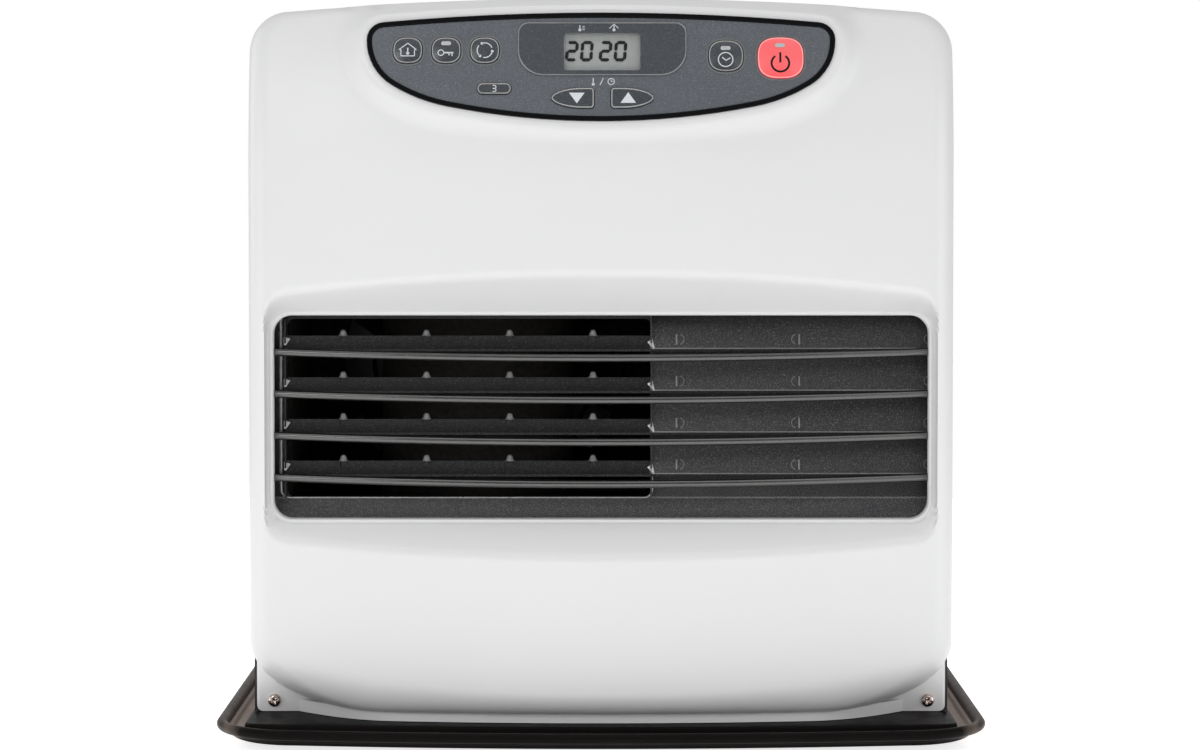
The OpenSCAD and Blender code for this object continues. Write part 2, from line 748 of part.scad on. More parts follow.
module tank_lid() {
    arm = 16;
    color([0.92, 0.92, 0.92]) difference() {
        union() {
            round_box([lid_x0 + lid_gap, lid_y0 + lid_gap, lid_z], [lid_x1 - lid_gap, lid_back, flat_top], 3);
            for (s = [-1, 1]) {
                x0 = tank_x + s * 38 - arm / 2;
                rod_x(hinge_y, hinge_z, knuckle_r, x0, x0 + arm);
                box([x0, lid_back - 2, lid_z - 1], [x0 + arm, hinge_y, flat_top - 0.3]);
            }
            box([tank_x - 18, lid_y0 + 2, flat_top - 0.5], [tank_x + 18, lid_y0 + 7, flat_top + 1.8]);
        }
        rod_x(hinge_y, hinge_z, pin_r + pin_fit, lid_x0, lid_x1);
        box([tank_x - 15, lid_back - 1.6, lid_z - 2], [tank_x + 15, lid_back + 3, flat_top + 1]);
    }
}

module lid_hinge_pin() {
    color([0.7, 0.7, 0.72]) rod_x(hinge_y, hinge_z, pin_r, tank_x - 50, tank_x + 50);
}

// Moulded hand recesses in the casing's sides
module side_grips() {
    wall = 1.6;
    lip = 4;
    for (s = [-1, 1]) color([0.86, 0.86, 0.86]) scale([s, 1, 1]) difference() {
        union() {
            box([casing_half + 0.1, grip_y0 - lip, grip_z0 - lip], [casing_half + 1.4, grip_y1 + lip, grip_z1 + lip]);
            box([casing_half - grip_d, grip_y0 + gap, grip_z0 + gap],
                [casing_half + 0.2, grip_y1 - gap, grip_z1 - gap]);
        }
        box([casing_half - grip_d + wall, grip_y0 + gap + wall, grip_z0 + gap + wall],
            [casing_half + 3, grip_y1 - gap - wall, grip_z1 - gap - wall]);
    }
}

// Guard rods, each an arc of a circle whose plane leans down towards the front
module guard_rod(z) {
    sweep = 2 * asin(rod_half / rod_arc_r);
    lean = atan2(rod_sag, rod_bow);
    translate([0, -rod_y, z + rod_sag]) rotate([lean, 0, 0])
        translate([0, rod_arc_r - rod_rise, 0]) rotate([0, 0, 270 - sweep / 2])
        rotate_extrude(angle = sweep, $fn = 96) translate([rod_arc_r, 0]) circle(r = rod_d / 2);
}

function rod_z(k) = rod_mid_z - 3.2 + (k - (rod_count - 1) / 2) * rod_pitch;

module guard_rods() {
    color([0.12, 0.12, 0.125]) for (k = [0:rod_count - 1]) guard_rod(rod_z(k));
}

// Pressed louvre panel: open blades on the left, closed steps on the right
step_z = [for (k = [0:3]) 157.9 + 25.35 * k];

module step_profile(z, rise) {
    y_out = -louvre_y - step_depth;
    slope = step_depth * rise / 25.35;
    polygon([[y_out, z], [y_out + slope, z + rise], [y_out + slope + louvre_t, z + rise], [y_out + 1.6, z + 0.4],
        [y_out + 1.6, z - 1.4], [y_out, z - 1.4]]);
}

module louvre_panel() {
    y_in = -louvre_y;
    color([0.16, 0.16, 0.165]) {
        difference() {
            box([-louvre_half, y_in, window_low - 6], [louvre_half, y_in + louvre_t, louvre_high]);
            along_y(y_in - 1, y_in + 2) translate([(window_x0 + window_x1) / 2, (window_low + window_high) / 2])
                round_rect(window_x1 - window_x0, window_high - window_low, window_r);
        }
        for (s = [-1, 1]) box([s > 0 ? louvre_half - louvre_t : -louvre_half, -opening_y + sheet_t + 0.2, louvre_low],
            [s > 0 ? louvre_half : -louvre_half + louvre_t, y_in + louvre_t, louvre_high]);
        along_x(-louvre_half, louvre_half) polygon([[y_in, window_low - 6], [y_in, window_low - 0.6],
            [y_in - 15, louvre_low + 3], [y_in - 15, louvre_low], [y_in - 13.5, louvre_low],
            [y_in - 13.5, louvre_low + 2], [y_in + louvre_t, window_low - 6]]);
        for (z = step_z) {
            along_x(window_x1 - 1, louvre_half - louvre_t / 2) step_profile(z, 25.35);
            along_x(window_x0 - 1, window_x1) step_profile(z, blade_rise);
        }
        for (x = [window_x0 - 1, window_x1 - 1]) box([x, y_in - step_depth + 0.5, window_low],
            [x + 1, y_in + louvre_t, window_high]);
        for (z = step_z, k = [0:bump_count - 1]) translate([bump_x0 + bump_pitch * k, y_in - step_depth + 3.2, z + 4])
            cylinder(r1 = bump_r + 0.4, r2 = bump_r - 1, h = 7.5);
    }
}

// Control panel
module control_bezel() {
    low = fascia_back - 0.6;
    color([0.04, 0.04, 0.045]) difference() {
        union() {
            at_panel(0, 0, low) linear_extrude(bezel_front - low) polygon(smile(0));
            at_panel(0, 0, low) linear_extrude(-0.4 - pad_t - gap - low) polygon(smile(2.4));
        }
        at_panel(0, 0, low - 1) linear_extrude(6) polygon(smile(-bezel_w));
    }
}

module key_outline(k, g) {
    translate([k[0], k[1]]) round_rect(k[2] + 2 * g, k[3] + 2 * g, k[4] + g);
}

// Arrow key: square at its inner end, its sides curving in to a rounded point at the other, side -1 for the left key
module arrow_outline(side, g) {
    w = arrow_w / 2 + g;
    h = arrow_h / 2 + g;
    r = arrow_r + g;
    translate([arrow_mid + side * arrow_u, arrow_v]) scale([side, 1]) polygon(concat(
        arc(r - w, r - h, r, 180, 270, 4),
        [for (a = [-90:10:90]) [w - arrow_taper + arrow_taper * cos(a), h * sign(a) * pow(abs(sin(a)), 1.15)]],
        arc(r - w, h - r, r, 90, 180, 4)));
}

module frame_outline() {
    translate([frame_u, frame_v]) intersection() {
        round_rect(frame_w, frame_h, 6);
        union() {
            translate([-frame_w / 2, -frame_h / 2 + 15]) square([frame_w, frame_h - 15]);
            translate([-frame_w / 2 + 15, -frame_h / 2]) square([frame_w - 30, frame_h]);
            for (s = [-1, 1]) translate([s * (frame_w / 2 - 15), -frame_h / 2 + 15]) circle(r = 15);
        }
    }
}

module control_fascia() {
    color([0.36, 0.37, 0.39]) {
        at_panel(0, 0, fascia_back) linear_extrude(fascia_t) difference() {
            polygon(smile(-bezel_w - 0.2));
            for (k = [save_key, lock_key, vent_key, timed_off_key, timer_key, power_key]) key_outline(k, key_gap);
            for (s = [-1, 1]) arrow_outline(s, key_gap);
            translate([display_u, display_v]) square([display_w + 0.6, display_h + 0.6], center = true);
        }
        for (b = boss_spots) at_panel(b[0], b[1], board_front + 0.05)
            cylinder(r = boss_r, h = fascia_back - board_front + 0.2);
    }
}

module display_frame() {
    color([0.3, 0.31, 0.33]) at_panel(0, 0, fascia_front + 0.02) linear_extrude(frame_t) difference() {
        frame_outline();
        translate([display_u, display_v]) round_rect(display_w - 1, display_h - 1, 1.5);
    }
}

module display_window() {
    color([0.75, 0.78, 0.78, 0.4]) at_panel(display_u, display_v, -1.2) linear_extrude(1.2 + fascia_front)
        square([display_w, display_h], center = true);
}

module display_module() {
    color([0.55, 0.58, 0.56]) {
        at_panel(display_u, display_v, fascia_back - 1.7) linear_extrude(1.5)
            square([display_w + 6, display_h + 5], center = true);
        at_panel(display_u, display_v, board_front + 0.05) linear_extrude(fascia_back - 1.7 - board_front)
            square([display_w - 4, display_h - 4], center = true);
    }
}

// Key: cap through the fascia, flange behind it, plunger towards its switch
module key_body(k) {
    at_panel(0, 0, fascia_back - 0.2 - key_flange_t) linear_extrude(key_front - fascia_back + 0.2 + key_flange_t)
        key_outline(k, 0);
    at_panel(0, 0, fascia_back - 0.2 - key_flange_t) linear_extrude(key_flange_t)
        key_outline(k, key_flange);
    at_panel(k[0], k[1], plunger_end) cylinder(r = plunger_r, h = fascia_back - plunger_end);
}

module arrow_body(side) {
    at_panel(0, 0, fascia_back - 0.2 - key_flange_t) linear_extrude(key_front - fascia_back + 0.2 + key_flange_t)
        arrow_outline(side, 0);
    at_panel(0, 0, fascia_back - 0.2 - key_flange_t) linear_extrude(key_flange_t) arrow_outline(side, key_flange);
    at_panel(arrow_mid + side * arrow_u, arrow_v, plunger_end) cylinder(r = plunger_r, h = fascia_back - plunger_end);
}

module key_save() { color([0.33, 0.34, 0.36]) key_body(save_key); }
module key_lock() { color([0.33, 0.34, 0.36]) key_body(lock_key); }
module key_vent() { color([0.33, 0.34, 0.36]) key_body(vent_key); }
module key_timed_off() { color([0.33, 0.34, 0.36]) key_body(timed_off_key); }
module key_timer() { color([0.33, 0.34, 0.36]) key_body(timer_key); }
module key_power() { color([0.95, 0.35, 0.38]) key_body(power_key); }
module key_down() { color([0.33, 0.34, 0.36]) arrow_body(-1); }
module key_up() { color([0.33, 0.34, 0.36]) arrow_body(1); }

module indicator_leds() {
    color([0.8, 0.85, 0.6]) for (spot = led_spots) at_panel(spot[0], spot[1], board_front + 0.05)
        linear_extrude(3) square([led_w, led_h], center = true);
}

module control_board() {
    spots = concat([for (k = [save_key, lock_key, vent_key, timed_off_key, timer_key, power_key]) [k[0], k[1]]],
        [[arrow_mid - arrow_u, arrow_v], [arrow_mid + arrow_u, arrow_v]]);
    color([0.1, 0.35, 0.2]) {
        at_panel(0, 0, board_front - board_t) linear_extrude(board_t) polygon(smile(-7));
        for (s = spots) at_panel(s[0], s[1], board_front - 0.1) linear_extrude(switch_h + 0.1)
            square([6, 6], center = true);
    }
}

module power_board() {
    x0 = -inside_x + 1.8;
    color([0.12, 0.36, 0.2]) {
        box([x0, -10, 120], [x0 + board_t, 100, 260]);
        for (y = [-4, 94], z = [126, 254]) rod_x(y, z, 2.5, -inside_x + 0.1, x0 + 0.2);
        box([x0 + board_t - 0.1, 4, 130], [x0 + 12, 40, 160]);
        box([x0 + board_t - 0.1, 52, 136], [x0 + 10, 84, 172]);
        for (z = [190, 206, 222]) rod_x(20, z, 6, x0 + board_t - 0.1, x0 + 11);
        box([x0 + board_t - 0.1, 50, 196], [x0 + 8, 90, 216]);
    }
}

// Fuel tank, its cap, handle and gauge
module tank_shell() {
    mid = [tank_x, tank_y];
    color([0.72, 0.73, 0.75]) {
        difference() {
            union() {
                round_box([tank_x0, tank_y0, tank_low], [tank_x1, tank_y1, tank_top], tank_r);
                translate([tank_x, tank_y, tank_low - 12]) cylinder(r = neck_r, h = 13);
            }
            round_box([tank_x0 + tank_t, tank_y0 + tank_t, tank_low + tank_t],
                [tank_x1 - tank_t, tank_y1 - tank_t, tank_top - tank_t], tank_r - tank_t);
            translate([tank_x, tank_y, tank_low - 14]) cylinder(r = neck_r - 1.2, h = 18);
            box([tank_x - 12, tank_y0 - 1, tank_low + 50], [tank_x + 12, tank_y0 + 2, tank_top - 100]);
        }
        for (s = [-1, 1]) difference() {
            box([tank_x + s * (handle_half + 2) - lug_t / 2, tank_y - 5, tank_top - 0.1],
                [tank_x + s * (handle_half + 2) + lug_t / 2, tank_y + 5, handle_z + 5]);
            rod_x(tank_y, handle_z, handle_r + pin_fit, tank_x - 40, tank_x + 40);
        }
    }
}

module tank_cap() {
    color([0.85, 0.62, 0.15]) translate([tank_x, tank_y, tank_low - 0.2 - cap_h]) difference() {
        union() {
            cylinder(r = cap_r, h = cap_h);
            for (a = [0:20:340]) rotate([0, 0, a]) translate([cap_r, 0, 2]) cylinder(r = 1.2, h = cap_h - 4);
        }
        translate([0, 0, 3]) cylinder(r = neck_r + 0.15, h = cap_h);
        translate([0, 0, -1]) cylinder(r = 4, h = 6);
    }
}

module tank_handle() {
    x0 = tank_x - handle_half;
    x1 = tank_x + handle_half;
    y0 = tank_y;
    y1 = tank_y + handle_len;
    color([0.1, 0.1, 0.1]) {
        bent_rod([[x0 - 4, y0, handle_z], [x0 - 0.5 + 1.4, y0, handle_z]], handle_r);
        bent_rod([[x0 + 2.4, y0, handle_z], [x0 + 2.4, y1, handle_z], [x1 - 2.4, y1, handle_z], [x1 - 2.4, y0, handle_z]],
            handle_r);
        bent_rod([[x1 - 0.9, y0, handle_z], [x1 + 4, y0, handle_z]], handle_r);
        for (x = [x0 + 2.4, x1 - 2.4]) translate([x, y0, handle_z]) sphere(r = handle_r);
    }
}

module tank_gauge() {
    color([0.8, 0.85, 0.88, 0.5]) box([tank_x - 11.8, tank_y0, tank_low + 50.2],
        [tank_x + 11.8, tank_y0 + 1.9, tank_top - 100.2]);
}

module sump_tank() {
    low = [tank_x0 - 2, tank_y0 - 2, sump_low];
    high = [tank_x1 + 2, tank_y1 + 2, sump_top];
    color([0.62, 0.63, 0.64]) {
        difference() {
            round_box(low, high, 6);
            round_box(low + [sump_t, sump_t, sump_t], high - [sump_t, sump_t, sump_roof], 5);
            translate([tank_x, tank_y, sump_top - 6]) cylinder(r = well_r, h = 8);
            translate([tank_x, tank_y, sump_top - 1.5]) cylinder(r = well_r + sump_wall, h = 3);
        }
        for (x = [low[0] + 12, high[0] - 12], y = [low[1] + 12, high[1] - 12]) translate([x, y, deck_top + 0.05])
            cylinder(r = 6, h = sump_low - deck_top);
    }
}

module fuel_strainer() {
    color([0.8, 0.8, 0.78]) translate([tank_x, tank_y, 0]) difference() {
        union() {
            translate([0, 0, sump_top - 1.45]) cylinder(r = well_r + sump_wall - 0.2, h = 1.2);
            translate([0, 0, sump_low + 8]) cylinder(r = well_r - 0.3, h = sump_top - sump_low - 9);
        }
        translate([0, 0, sump_low + 9]) cylinder(r = well_r - 1.2, h = 60);
    }
}

pump_x = 80;
pump_y = tank_y1 + 21;

module fuel_pump() {
    color([0.5, 0.5, 0.52]) {
        box([pump_x - 14, pump_y - 14, deck_top + 0.1], [pump_x + 14, pump_y + 13, 36]);
        translate([pump_x, pump_y, 35]) cylinder(r = 12, h = 44);
        translate([pump_x, pump_y, 78]) cylinder(r = 5, h = 10);
        rod_y(pump_x, 33.5, 2, tank_y1 + 2.1, pump_y - 13);
    }
}

pipe_r = 2;
pipe_z = 24;

module fuel_pipe() {
    y_run = pump_y;
    color([0.72, 0.42, 0.25]) bent_rod([[pump_x - 14.1, y_run, pipe_z], [burner_x, y_run, pipe_z],
        [burner_x, burner_y + pot_r + 10, pipe_z], [burner_x, burner_y + pot_r + 10, 80],
        [burner_x, burner_y + pot_r + 0.2, 80]], pipe_r);
}

// Burner
module burner_pot() {
    color([0.45, 0.44, 0.42]) translate([burner_x, burner_y, 0]) difference() {
        union() {
            translate([0, 0, pot_low]) cylinder(r = pot_r, h = duct_low - pot_low - 0.2);
            translate([0, 0, duct_low - 2.2]) cylinder(r = pot_r + 10, h = 2);
        }
        translate([0, 0, pot_low + pot_t]) cylinder(r = pot_r - pot_t, h = duct_low - pot_low - 8);
        translate([0, 0, duct_low - 8]) cylinder(r = pot_r - 14, h = 10);
        translate([0, -pot_r + 8, 92]) rotate([90, 0, 0]) cylinder(r = 3.2, h = 16);
    }
}

module igniter() {
    y_wall = burner_y - pot_r;
    color([0.88, 0.86, 0.8]) {
        rod_y(burner_x, 92, 3, y_wall - 24, y_wall + 20);
        rod_y(burner_x, 92, 7, y_wall - 4.2, y_wall - 0.2);
    }
}

module flame_ring() {
    color([0.5, 0.48, 0.45]) translate([burner_x, burner_y, duct_low - 0.1]) difference() {
        cylinder(r = pot_r - 5, h = 14);
        translate([0, 0, -1]) cylinder(r = pot_r - 13, h = 20);
        for (a = [0:30:150]) rotate([0, 0, a]) translate([0, 0, 8]) cube([2 * pot_r, 4, 5], center = true);
    }
}

module flame_rod() {
    color([0.85, 0.83, 0.78]) {
        rod_x(burner_y, 140, 1.5, burner_x + 30, duct_x1 - 10);
        rod_x(burner_y, 140, 5, duct_x1 - 11, duct_x1 - duct_t - 0.05);
    }
}

module combustion_chamber() {
    color([0.6, 0.6, 0.6]) translate([burner_x, burner_y, 0]) difference() {
        union() {
            translate([0, 0, duct_low + duct_t + 0.05]) cylinder(r = chamber_r, h = chamber_top - duct_low - duct_t);
            translate([0, 0, chamber_top]) cylinder(r1 = chamber_r, r2 = chamber_r / 2, h = 12);
        }
        translate([0, 0, duct_low - 1]) cylinder(r = chamber_r - 1, h = chamber_top - duct_low + 1);
        translate([0, 0, chamber_top - 0.1]) cylinder(r1 = chamber_r - 1, r2 = chamber_r / 2 - 1, h = 11);
        for (a = [0:30:330]) rotate([0, 0, a]) translate([chamber_r - 4, 0, chamber_top - 20]) rotate([0, 90, 0])
            cylinder(r = 5, h = 8);
        translate([0, 0, 140]) rotate([0, 90, 0]) cylinder(r = 2.5, h = chamber_r + 4);
    }
}

module air_duct() {
    color([0.66, 0.67, 0.68]) difference() {
        union() {
            box([duct_x0, -duct_front, duct_low], [duct_x1, duct_back, duct_high]);
            box([duct_x0, -duct_front, deck_top + 0.1], [duct_x0 + duct_t, duct_back, duct_low + 1]);
            box([duct_x1 - duct_t, -duct_front, deck_top + 0.1], [duct_x1, duct_back, duct_low + 1]);
        }
        box([duct_x0 + duct_t, -duct_front + duct_t, duct_low + duct_t],
            [duct_x1 - duct_t, duct_back - duct_t, duct_high - duct_t]);
        box([duct_x0 + 3, -duct_front - 1, window_low], [duct_x1 - 3, -duct_front + 2, window_high]);
        rod_y(burner_x, fan_z, fan_r + 3, duct_back - 3, duct_back + 2);
        translate([burner_x, burner_y, duct_low - 1]) cylinder(r = pot_r - 4, h = 4);
        box([duct_x1 - 3, pump_y - 20, deck_top], [duct_x1 + 2, duct_back + 1, 34]);
    }
}

// Combustion blower
module blower_housing() {
    color([0.7, 0.7, 0.72]) {
        difference() {
            union() {
                translate([blower_x, blower_y, blower_low]) cylinder(r = blower_r, h = blower_h);
                box([blower_x, blower_y - blower_r, blower_low], [burner_x + 20, blower_y - blower_r + 26,
                    blower_low + blower_h]);
            }
            translate([blower_x, blower_y, blower_low + blower_t])
                cylinder(r = blower_r - blower_t, h = blower_h - 2 * blower_t);
            box([blower_x, blower_y - blower_r + blower_t, blower_low + blower_t],
                [burner_x + 20 - blower_t, blower_y - blower_r + 26 - blower_t, blower_low + blower_h - blower_t]);
            translate([blower_x, blower_y, blower_low - 1]) cylinder(r = 24, h = 4);
            translate([blower_x, blower_y, blower_low + blower_h - 3]) cylinder(r = 5, h = 6);
            translate([burner_x, blower_y - blower_r + 13, blower_low + blower_h - 3]) cylinder(r = 8, h = 6);
        }
        for (a = [45:90:315]) translate([blower_x + 34 * cos(a), blower_y + 34 * sin(a), deck_top + 0.1])
            cylinder(r = 4, h = blower_low - deck_top);
        translate([burner_x, blower_y - blower_r + 13, blower_low + blower_h - 0.1]) difference() {
            cylinder(r = 10, h = pot_low - blower_low - blower_h);
            translate([0, 0, -1]) cylinder(r = 8, h = 30);
        }
    }
}

module blower_motor() {
    z0 = blower_low + blower_h + 0.1;
    color([0.3, 0.3, 0.32]) translate([blower_x, blower_y, z0]) difference() {
        cylinder(r = 24, h = duct_low - z0 - 12);
        translate([0, 0, -1]) cylinder(r = shaft_r + shaft_fit, h = 30);
    }
}

module blower_impeller() {
    z0 = blower_low + blower_t + 4;
    color([0.75, 0.75, 0.77]) translate([blower_x, blower_y, z0]) {
        difference() {
            cylinder(r = impeller_r, h = 1.2);
            translate([0, 0, -1]) cylinder(r = 20, h = 4);
        }
        translate([0, 0, impeller_h]) cylinder(r = impeller_r, h = 1.2);
        for (k = [0:vane_count - 1]) rotate([0, 0, k * 360 / vane_count]) translate([impeller_r - 7, -0.5, 0.6])
            rotate([0, 0, 25]) cube([6.4, 1, impeller_h]);
        translate([0, 0, impeller_h - 6]) cylinder(r = shaft_r, h = 36);
    }
}

// Circulation fan
module fan_motor() {
    color([0.28, 0.28, 0.3]) difference() {
        union() {
            rod_y(burner_x, fan_z, motor_r, motor_y0 + 4, motor_y1);
            rod_y(burner_x, fan_z, 10, motor_y0, motor_y0 + 5);
        }
        rod_y(burner_x, fan_z, shaft_r + shaft_fit, motor_y0 - 1, motor_y1 - 4);
    }
}

module fan_bracket() {
    color([0.5, 0.5, 0.52]) difference() {
        union() {
            rod_y(burner_x, fan_z, 26, bracket_y, bracket_y + bracket_t);
            for (a = [45, 135]) translate([burner_x, bracket_y + bracket_t / 2, fan_z]) rotate([0, a, 0])
                cube([2 * (fan_hole_r + 9), bracket_t, 14], center = true);
        }
        rod_y(burner_x, fan_z, 8, bracket_y - 1, bracket_y + 6);
    }
}

module fan_shaft() {
    color([0.75, 0.75, 0.77]) rod_y(burner_x, fan_z, shaft_r, fan_y - 2, motor_y1 - 6);
}

module fan_blades() {
    color([0.62, 0.63, 0.65]) difference() {
        union() {
            rod_y(burner_x, fan_z, hub_r, fan_y, fan_y + 14);
            for (k = [0:blade_count - 1]) translate([burner_x, fan_y + 7, fan_z]) rotate([0, k * 360 / blade_count, 0])
                intersection() {
                    rotate([0, 0, 0]) translate([fan_r / 2 + 4, 0, 0]) rotate([24, 0, 0])
                        cube([fan_r - 8, blade_t, 58], center = true);
                    rotate([90, 0, 0]) cylinder(r = fan_r, h = 60, center = true);
                    box([hub_r - 3, -40, -40], [fan_r + 2, 40, 40]);
                }
        }
        rod_y(burner_x, fan_z, shaft_r, fan_y - 20, fan_y + 30);
    }
}

module fan_guard() {
    rings = [for (r = [16:12:guard_rim_r - 14]) r];
    color([0.1, 0.1, 0.1]) {
        for (r = rings) translate([burner_x, guard_y, fan_z]) rotate([90, 0, 0]) rotate_extrude()
            translate([r, 0]) circle(r = guard_wire);
        translate([burner_x, rear_y + guard_wire + 0.2, fan_z]) rotate([90, 0, 0]) rotate_extrude()
            translate([guard_rim_r, 0]) circle(r = guard_wire);
        for (k = [0:7]) translate([burner_x, 0, fan_z]) rotate([0, k * 45 + 22.5, 0])
            bent_rod([[0, guard_y - 1.7, 0], [guard_rim_r - 14, guard_y - 1.7, 0],
                [guard_rim_r, rear_y + guard_wire + 1.4, 0]], guard_wire);
    }
}

module filter_rails() {
    x_out = filter_half + rail_w;
    for (s = [-1, 1]) color([0.08, 0.08, 0.08]) difference() {
        translate([burner_x, 0, 0]) scale([s, 1, 1])
            box([filter_half - 5, rear_y + 0.1, filter_low - 3], [x_out, filter_y + filter_t + 2, fan_z + filter_half]);
        translate([burner_x, 0, 0]) scale([s, 1, 1])
            box([filter_half - 6, filter_y - gap, filter_low - gap], [filter_half + gap, filter_y + filter_t + gap,
                fan_z + filter_half + 1]);
        translate([burner_x, 0, 0]) scale([s, 1, 1])
            box([filter_half - 6, rear_y - 1, filter_low - 4], [x_out - 2, filter_y - gap - 2, fan_z + filter_half + 1]);
    }
}

module air_filter() {
    border = 9;
    pitch = (2 * filter_half - 2 * border) / 8;
    color([0.15, 0.15, 0.16]) translate([burner_x, 0, fan_z]) {
        difference() {
            box([-filter_half, filter_y, -filter_half], [filter_half, filter_y + filter_t, filter_half]);
            box([-filter_half + border, filter_y - 1, -filter_half + border],
                [filter_half - border, filter_y + 9, filter_half - border]);
        }
        box([-filter_half + 2, filter_y + 1.6, -filter_half + 2], [filter_half - 2, filter_y + 2.2, filter_half - 2]);
        for (k = [1:7]) {
            box([-filter_half + border + k * pitch - 1, filter_y + 1, -filter_half + 4],
                [-filter_half + border + k * pitch + 1, filter_y + 3.6, filter_half - 4]);
            box([-filter_half + 4, filter_y + 1, -filter_half + border + k * pitch - 1],
                [filter_half - 4, filter_y + 3.4, -filter_half + border + k * pitch + 1]);
        }
    }
}

module room_sensor() {
    color([0.12, 0.12, 0.12]) difference() {
        box([120, rear_y + 0.1, 92], [144, rear_y + 12, 122]);
        box([122, rear_y + 4, 90], [142, rear_y + 10, 124]);
        for (z = [97, 104, 111]) box([124, rear_y + 9, z], [140, rear_y + 14, z + 4]);
    }
    color([0.7, 0.45, 0.2]) rod_y(132, 107, 2, rear_y + 3.5, rear_y + 8);
}

module tilt_switch() {
    color([0.2, 0.2, 0.22]) {
        box([-26, 30, deck_top + 0.05], [4, 54, deck_top + 3]);
        box([-22, 33, deck_top + 2.9], [0, 51, deck_top + 20]);
    }
}

module overheat_cutout() {
    color([0.75, 0.72, 0.62]) {
        translate([burner_x, burner_y, duct_high + 0.05]) cylinder(r = 12, h = 3);
        translate([burner_x, burner_y, duct_high + 3]) cylinder(r = 9, h = 6);
        for (s = [-1, 1]) box([burner_x + s * 5 - 0.4, burner_y - 3, duct_high + 8],
            [burner_x + s * 5 + 0.4, burner_y + 3, duct_high + 15]);
    }
}

module cord_gland() {
    color([0.06, 0.06, 0.06]) difference() {
        union() {
            rod_y(gland_x, gland_z, gland_r, inside_y - 4, rear_y + 8);
            rod_y(gland_x, gland_z, gland_r + 3, rear_y + 0.1, rear_y + 3);
            rod_y(gland_x, gland_z, gland_r + 2, inside_y - 4, inside_y - 0.3);
        }
        rod_y(gland_x, gland_z, gland_bore / 2, inside_y - 6, rear_y + 10);
    }
}

tray();
tray_feet();
base_frame();
front_panel();
front_screws();
side_panel_left();
side_panel_right();
back_panel();
casing_screws();
top_cover();
tank_lid();
lid_hinge_pin();
side_grips();
guard_rods();
louvre_panel();
control_bezel();
control_fascia();
display_frame();
display_window();
display_module();
key_save();
key_lock();
key_vent();
key_timed_off();
key_down();
key_up();
key_timer();
key_power();
indicator_leds();
control_board();
power_board();
tank_shell();
tank_cap();
tank_handle();
tank_gauge();
sump_tank();
fuel_strainer();
fuel_pump();
fuel_pipe();
burner_pot();
igniter();
flame_ring();
flame_rod();
combustion_chamber();
air_duct();
blower_housing();
blower_motor();
blower_impeller();
fan_motor();
fan_bracket();
fan_shaft();
fan_blades();
fan_guard();
filter_rails();
air_filter();
room_sensor();
tilt_switch();
overheat_cutout();
cord_gland();
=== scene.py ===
import json
import math
import bmesh
import bpy
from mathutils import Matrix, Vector


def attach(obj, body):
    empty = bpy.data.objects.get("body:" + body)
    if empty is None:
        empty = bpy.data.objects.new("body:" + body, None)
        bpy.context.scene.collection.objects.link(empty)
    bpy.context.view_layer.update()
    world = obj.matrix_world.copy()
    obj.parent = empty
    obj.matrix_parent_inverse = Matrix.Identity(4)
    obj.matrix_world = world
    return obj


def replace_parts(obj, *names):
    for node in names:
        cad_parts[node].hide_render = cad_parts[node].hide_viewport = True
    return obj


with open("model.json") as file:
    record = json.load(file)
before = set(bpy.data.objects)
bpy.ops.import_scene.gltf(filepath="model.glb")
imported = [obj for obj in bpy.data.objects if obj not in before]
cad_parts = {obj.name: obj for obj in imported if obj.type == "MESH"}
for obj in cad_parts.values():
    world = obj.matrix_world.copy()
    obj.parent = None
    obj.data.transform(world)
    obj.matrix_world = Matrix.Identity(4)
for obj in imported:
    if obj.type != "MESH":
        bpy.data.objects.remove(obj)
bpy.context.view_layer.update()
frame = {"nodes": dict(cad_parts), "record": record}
nodes = frame["nodes"]
mm = 0.001
print("frame loaded:", len(nodes), "nodes")


def newObject(name, data):
    made = bpy.data.objects.new(name, data)
    bpy.context.scene.collection.objects.link(made)
    return made


# Camera
camera = {"place": (0, -1.9165, 0.342), "down": 1.937, "lens": 91.165, "sensor": 36,
          "shift": (-1 / 1200, -101.6 / 1200)}
cameraData = bpy.data.cameras.new("camera")
cameraData.sensor_width = camera["sensor"]
cameraData.lens = camera["lens"]
cameraData.shift_x, cameraData.shift_y = camera["shift"]
cameraObject = newObject("camera", cameraData)
cameraObject.location = camera["place"]
cameraObject.rotation_euler = (math.radians(90 - camera["down"]), 0, 0)
bpy.context.scene.camera = cameraObject
bpy.context.scene.view_settings.view_transform = "Standard"


# Materials
def newMaterial(name):
    made = bpy.data.materials.new(name)
    made.use_nodes = True
    tree = made.node_tree
    return made, tree, tree.nodes["Principled BSDF"]


def join(tree, node, inputs):  # each input takes a value or another node's output
    for socket, value in inputs.items():
        if isinstance(value, bpy.types.NodeSocket):
            tree.links.new(value, node.inputs[socket])
        else:
            node.inputs[socket].default_value = value


def nodeOf(tree, kind, inputs, output=0, **settings):
    node = tree.nodes.new("ShaderNode" + kind)
    for setting, value in settings.items():
        setattr(node, setting, value)
    join(tree, node, inputs)
    return node.outputs[output]


def noiseOf(tree, vector, scale, detail=3.0, rough=0.55):
    return nodeOf(tree, "TexNoise", {"Vector": vector, "Scale": scale, "Detail": detail, "Roughness": rough},
                  "Fac")


def rangeOf(tree, value, low, high, fromLow=0.3, fromHigh=0.7):
    return nodeOf(tree, "MapRange", {"Value": value, "From Min": fromLow, "From Max": fromHigh, "To Min": low,
                                     "To Max": high}, "Result")


def mixOf(tree, share, first, second):
    return nodeOf(tree, "Mix", {"Factor": share, "A": first, "B": second}, "Result", data_type="RGBA")


grainDepth = 0.0002


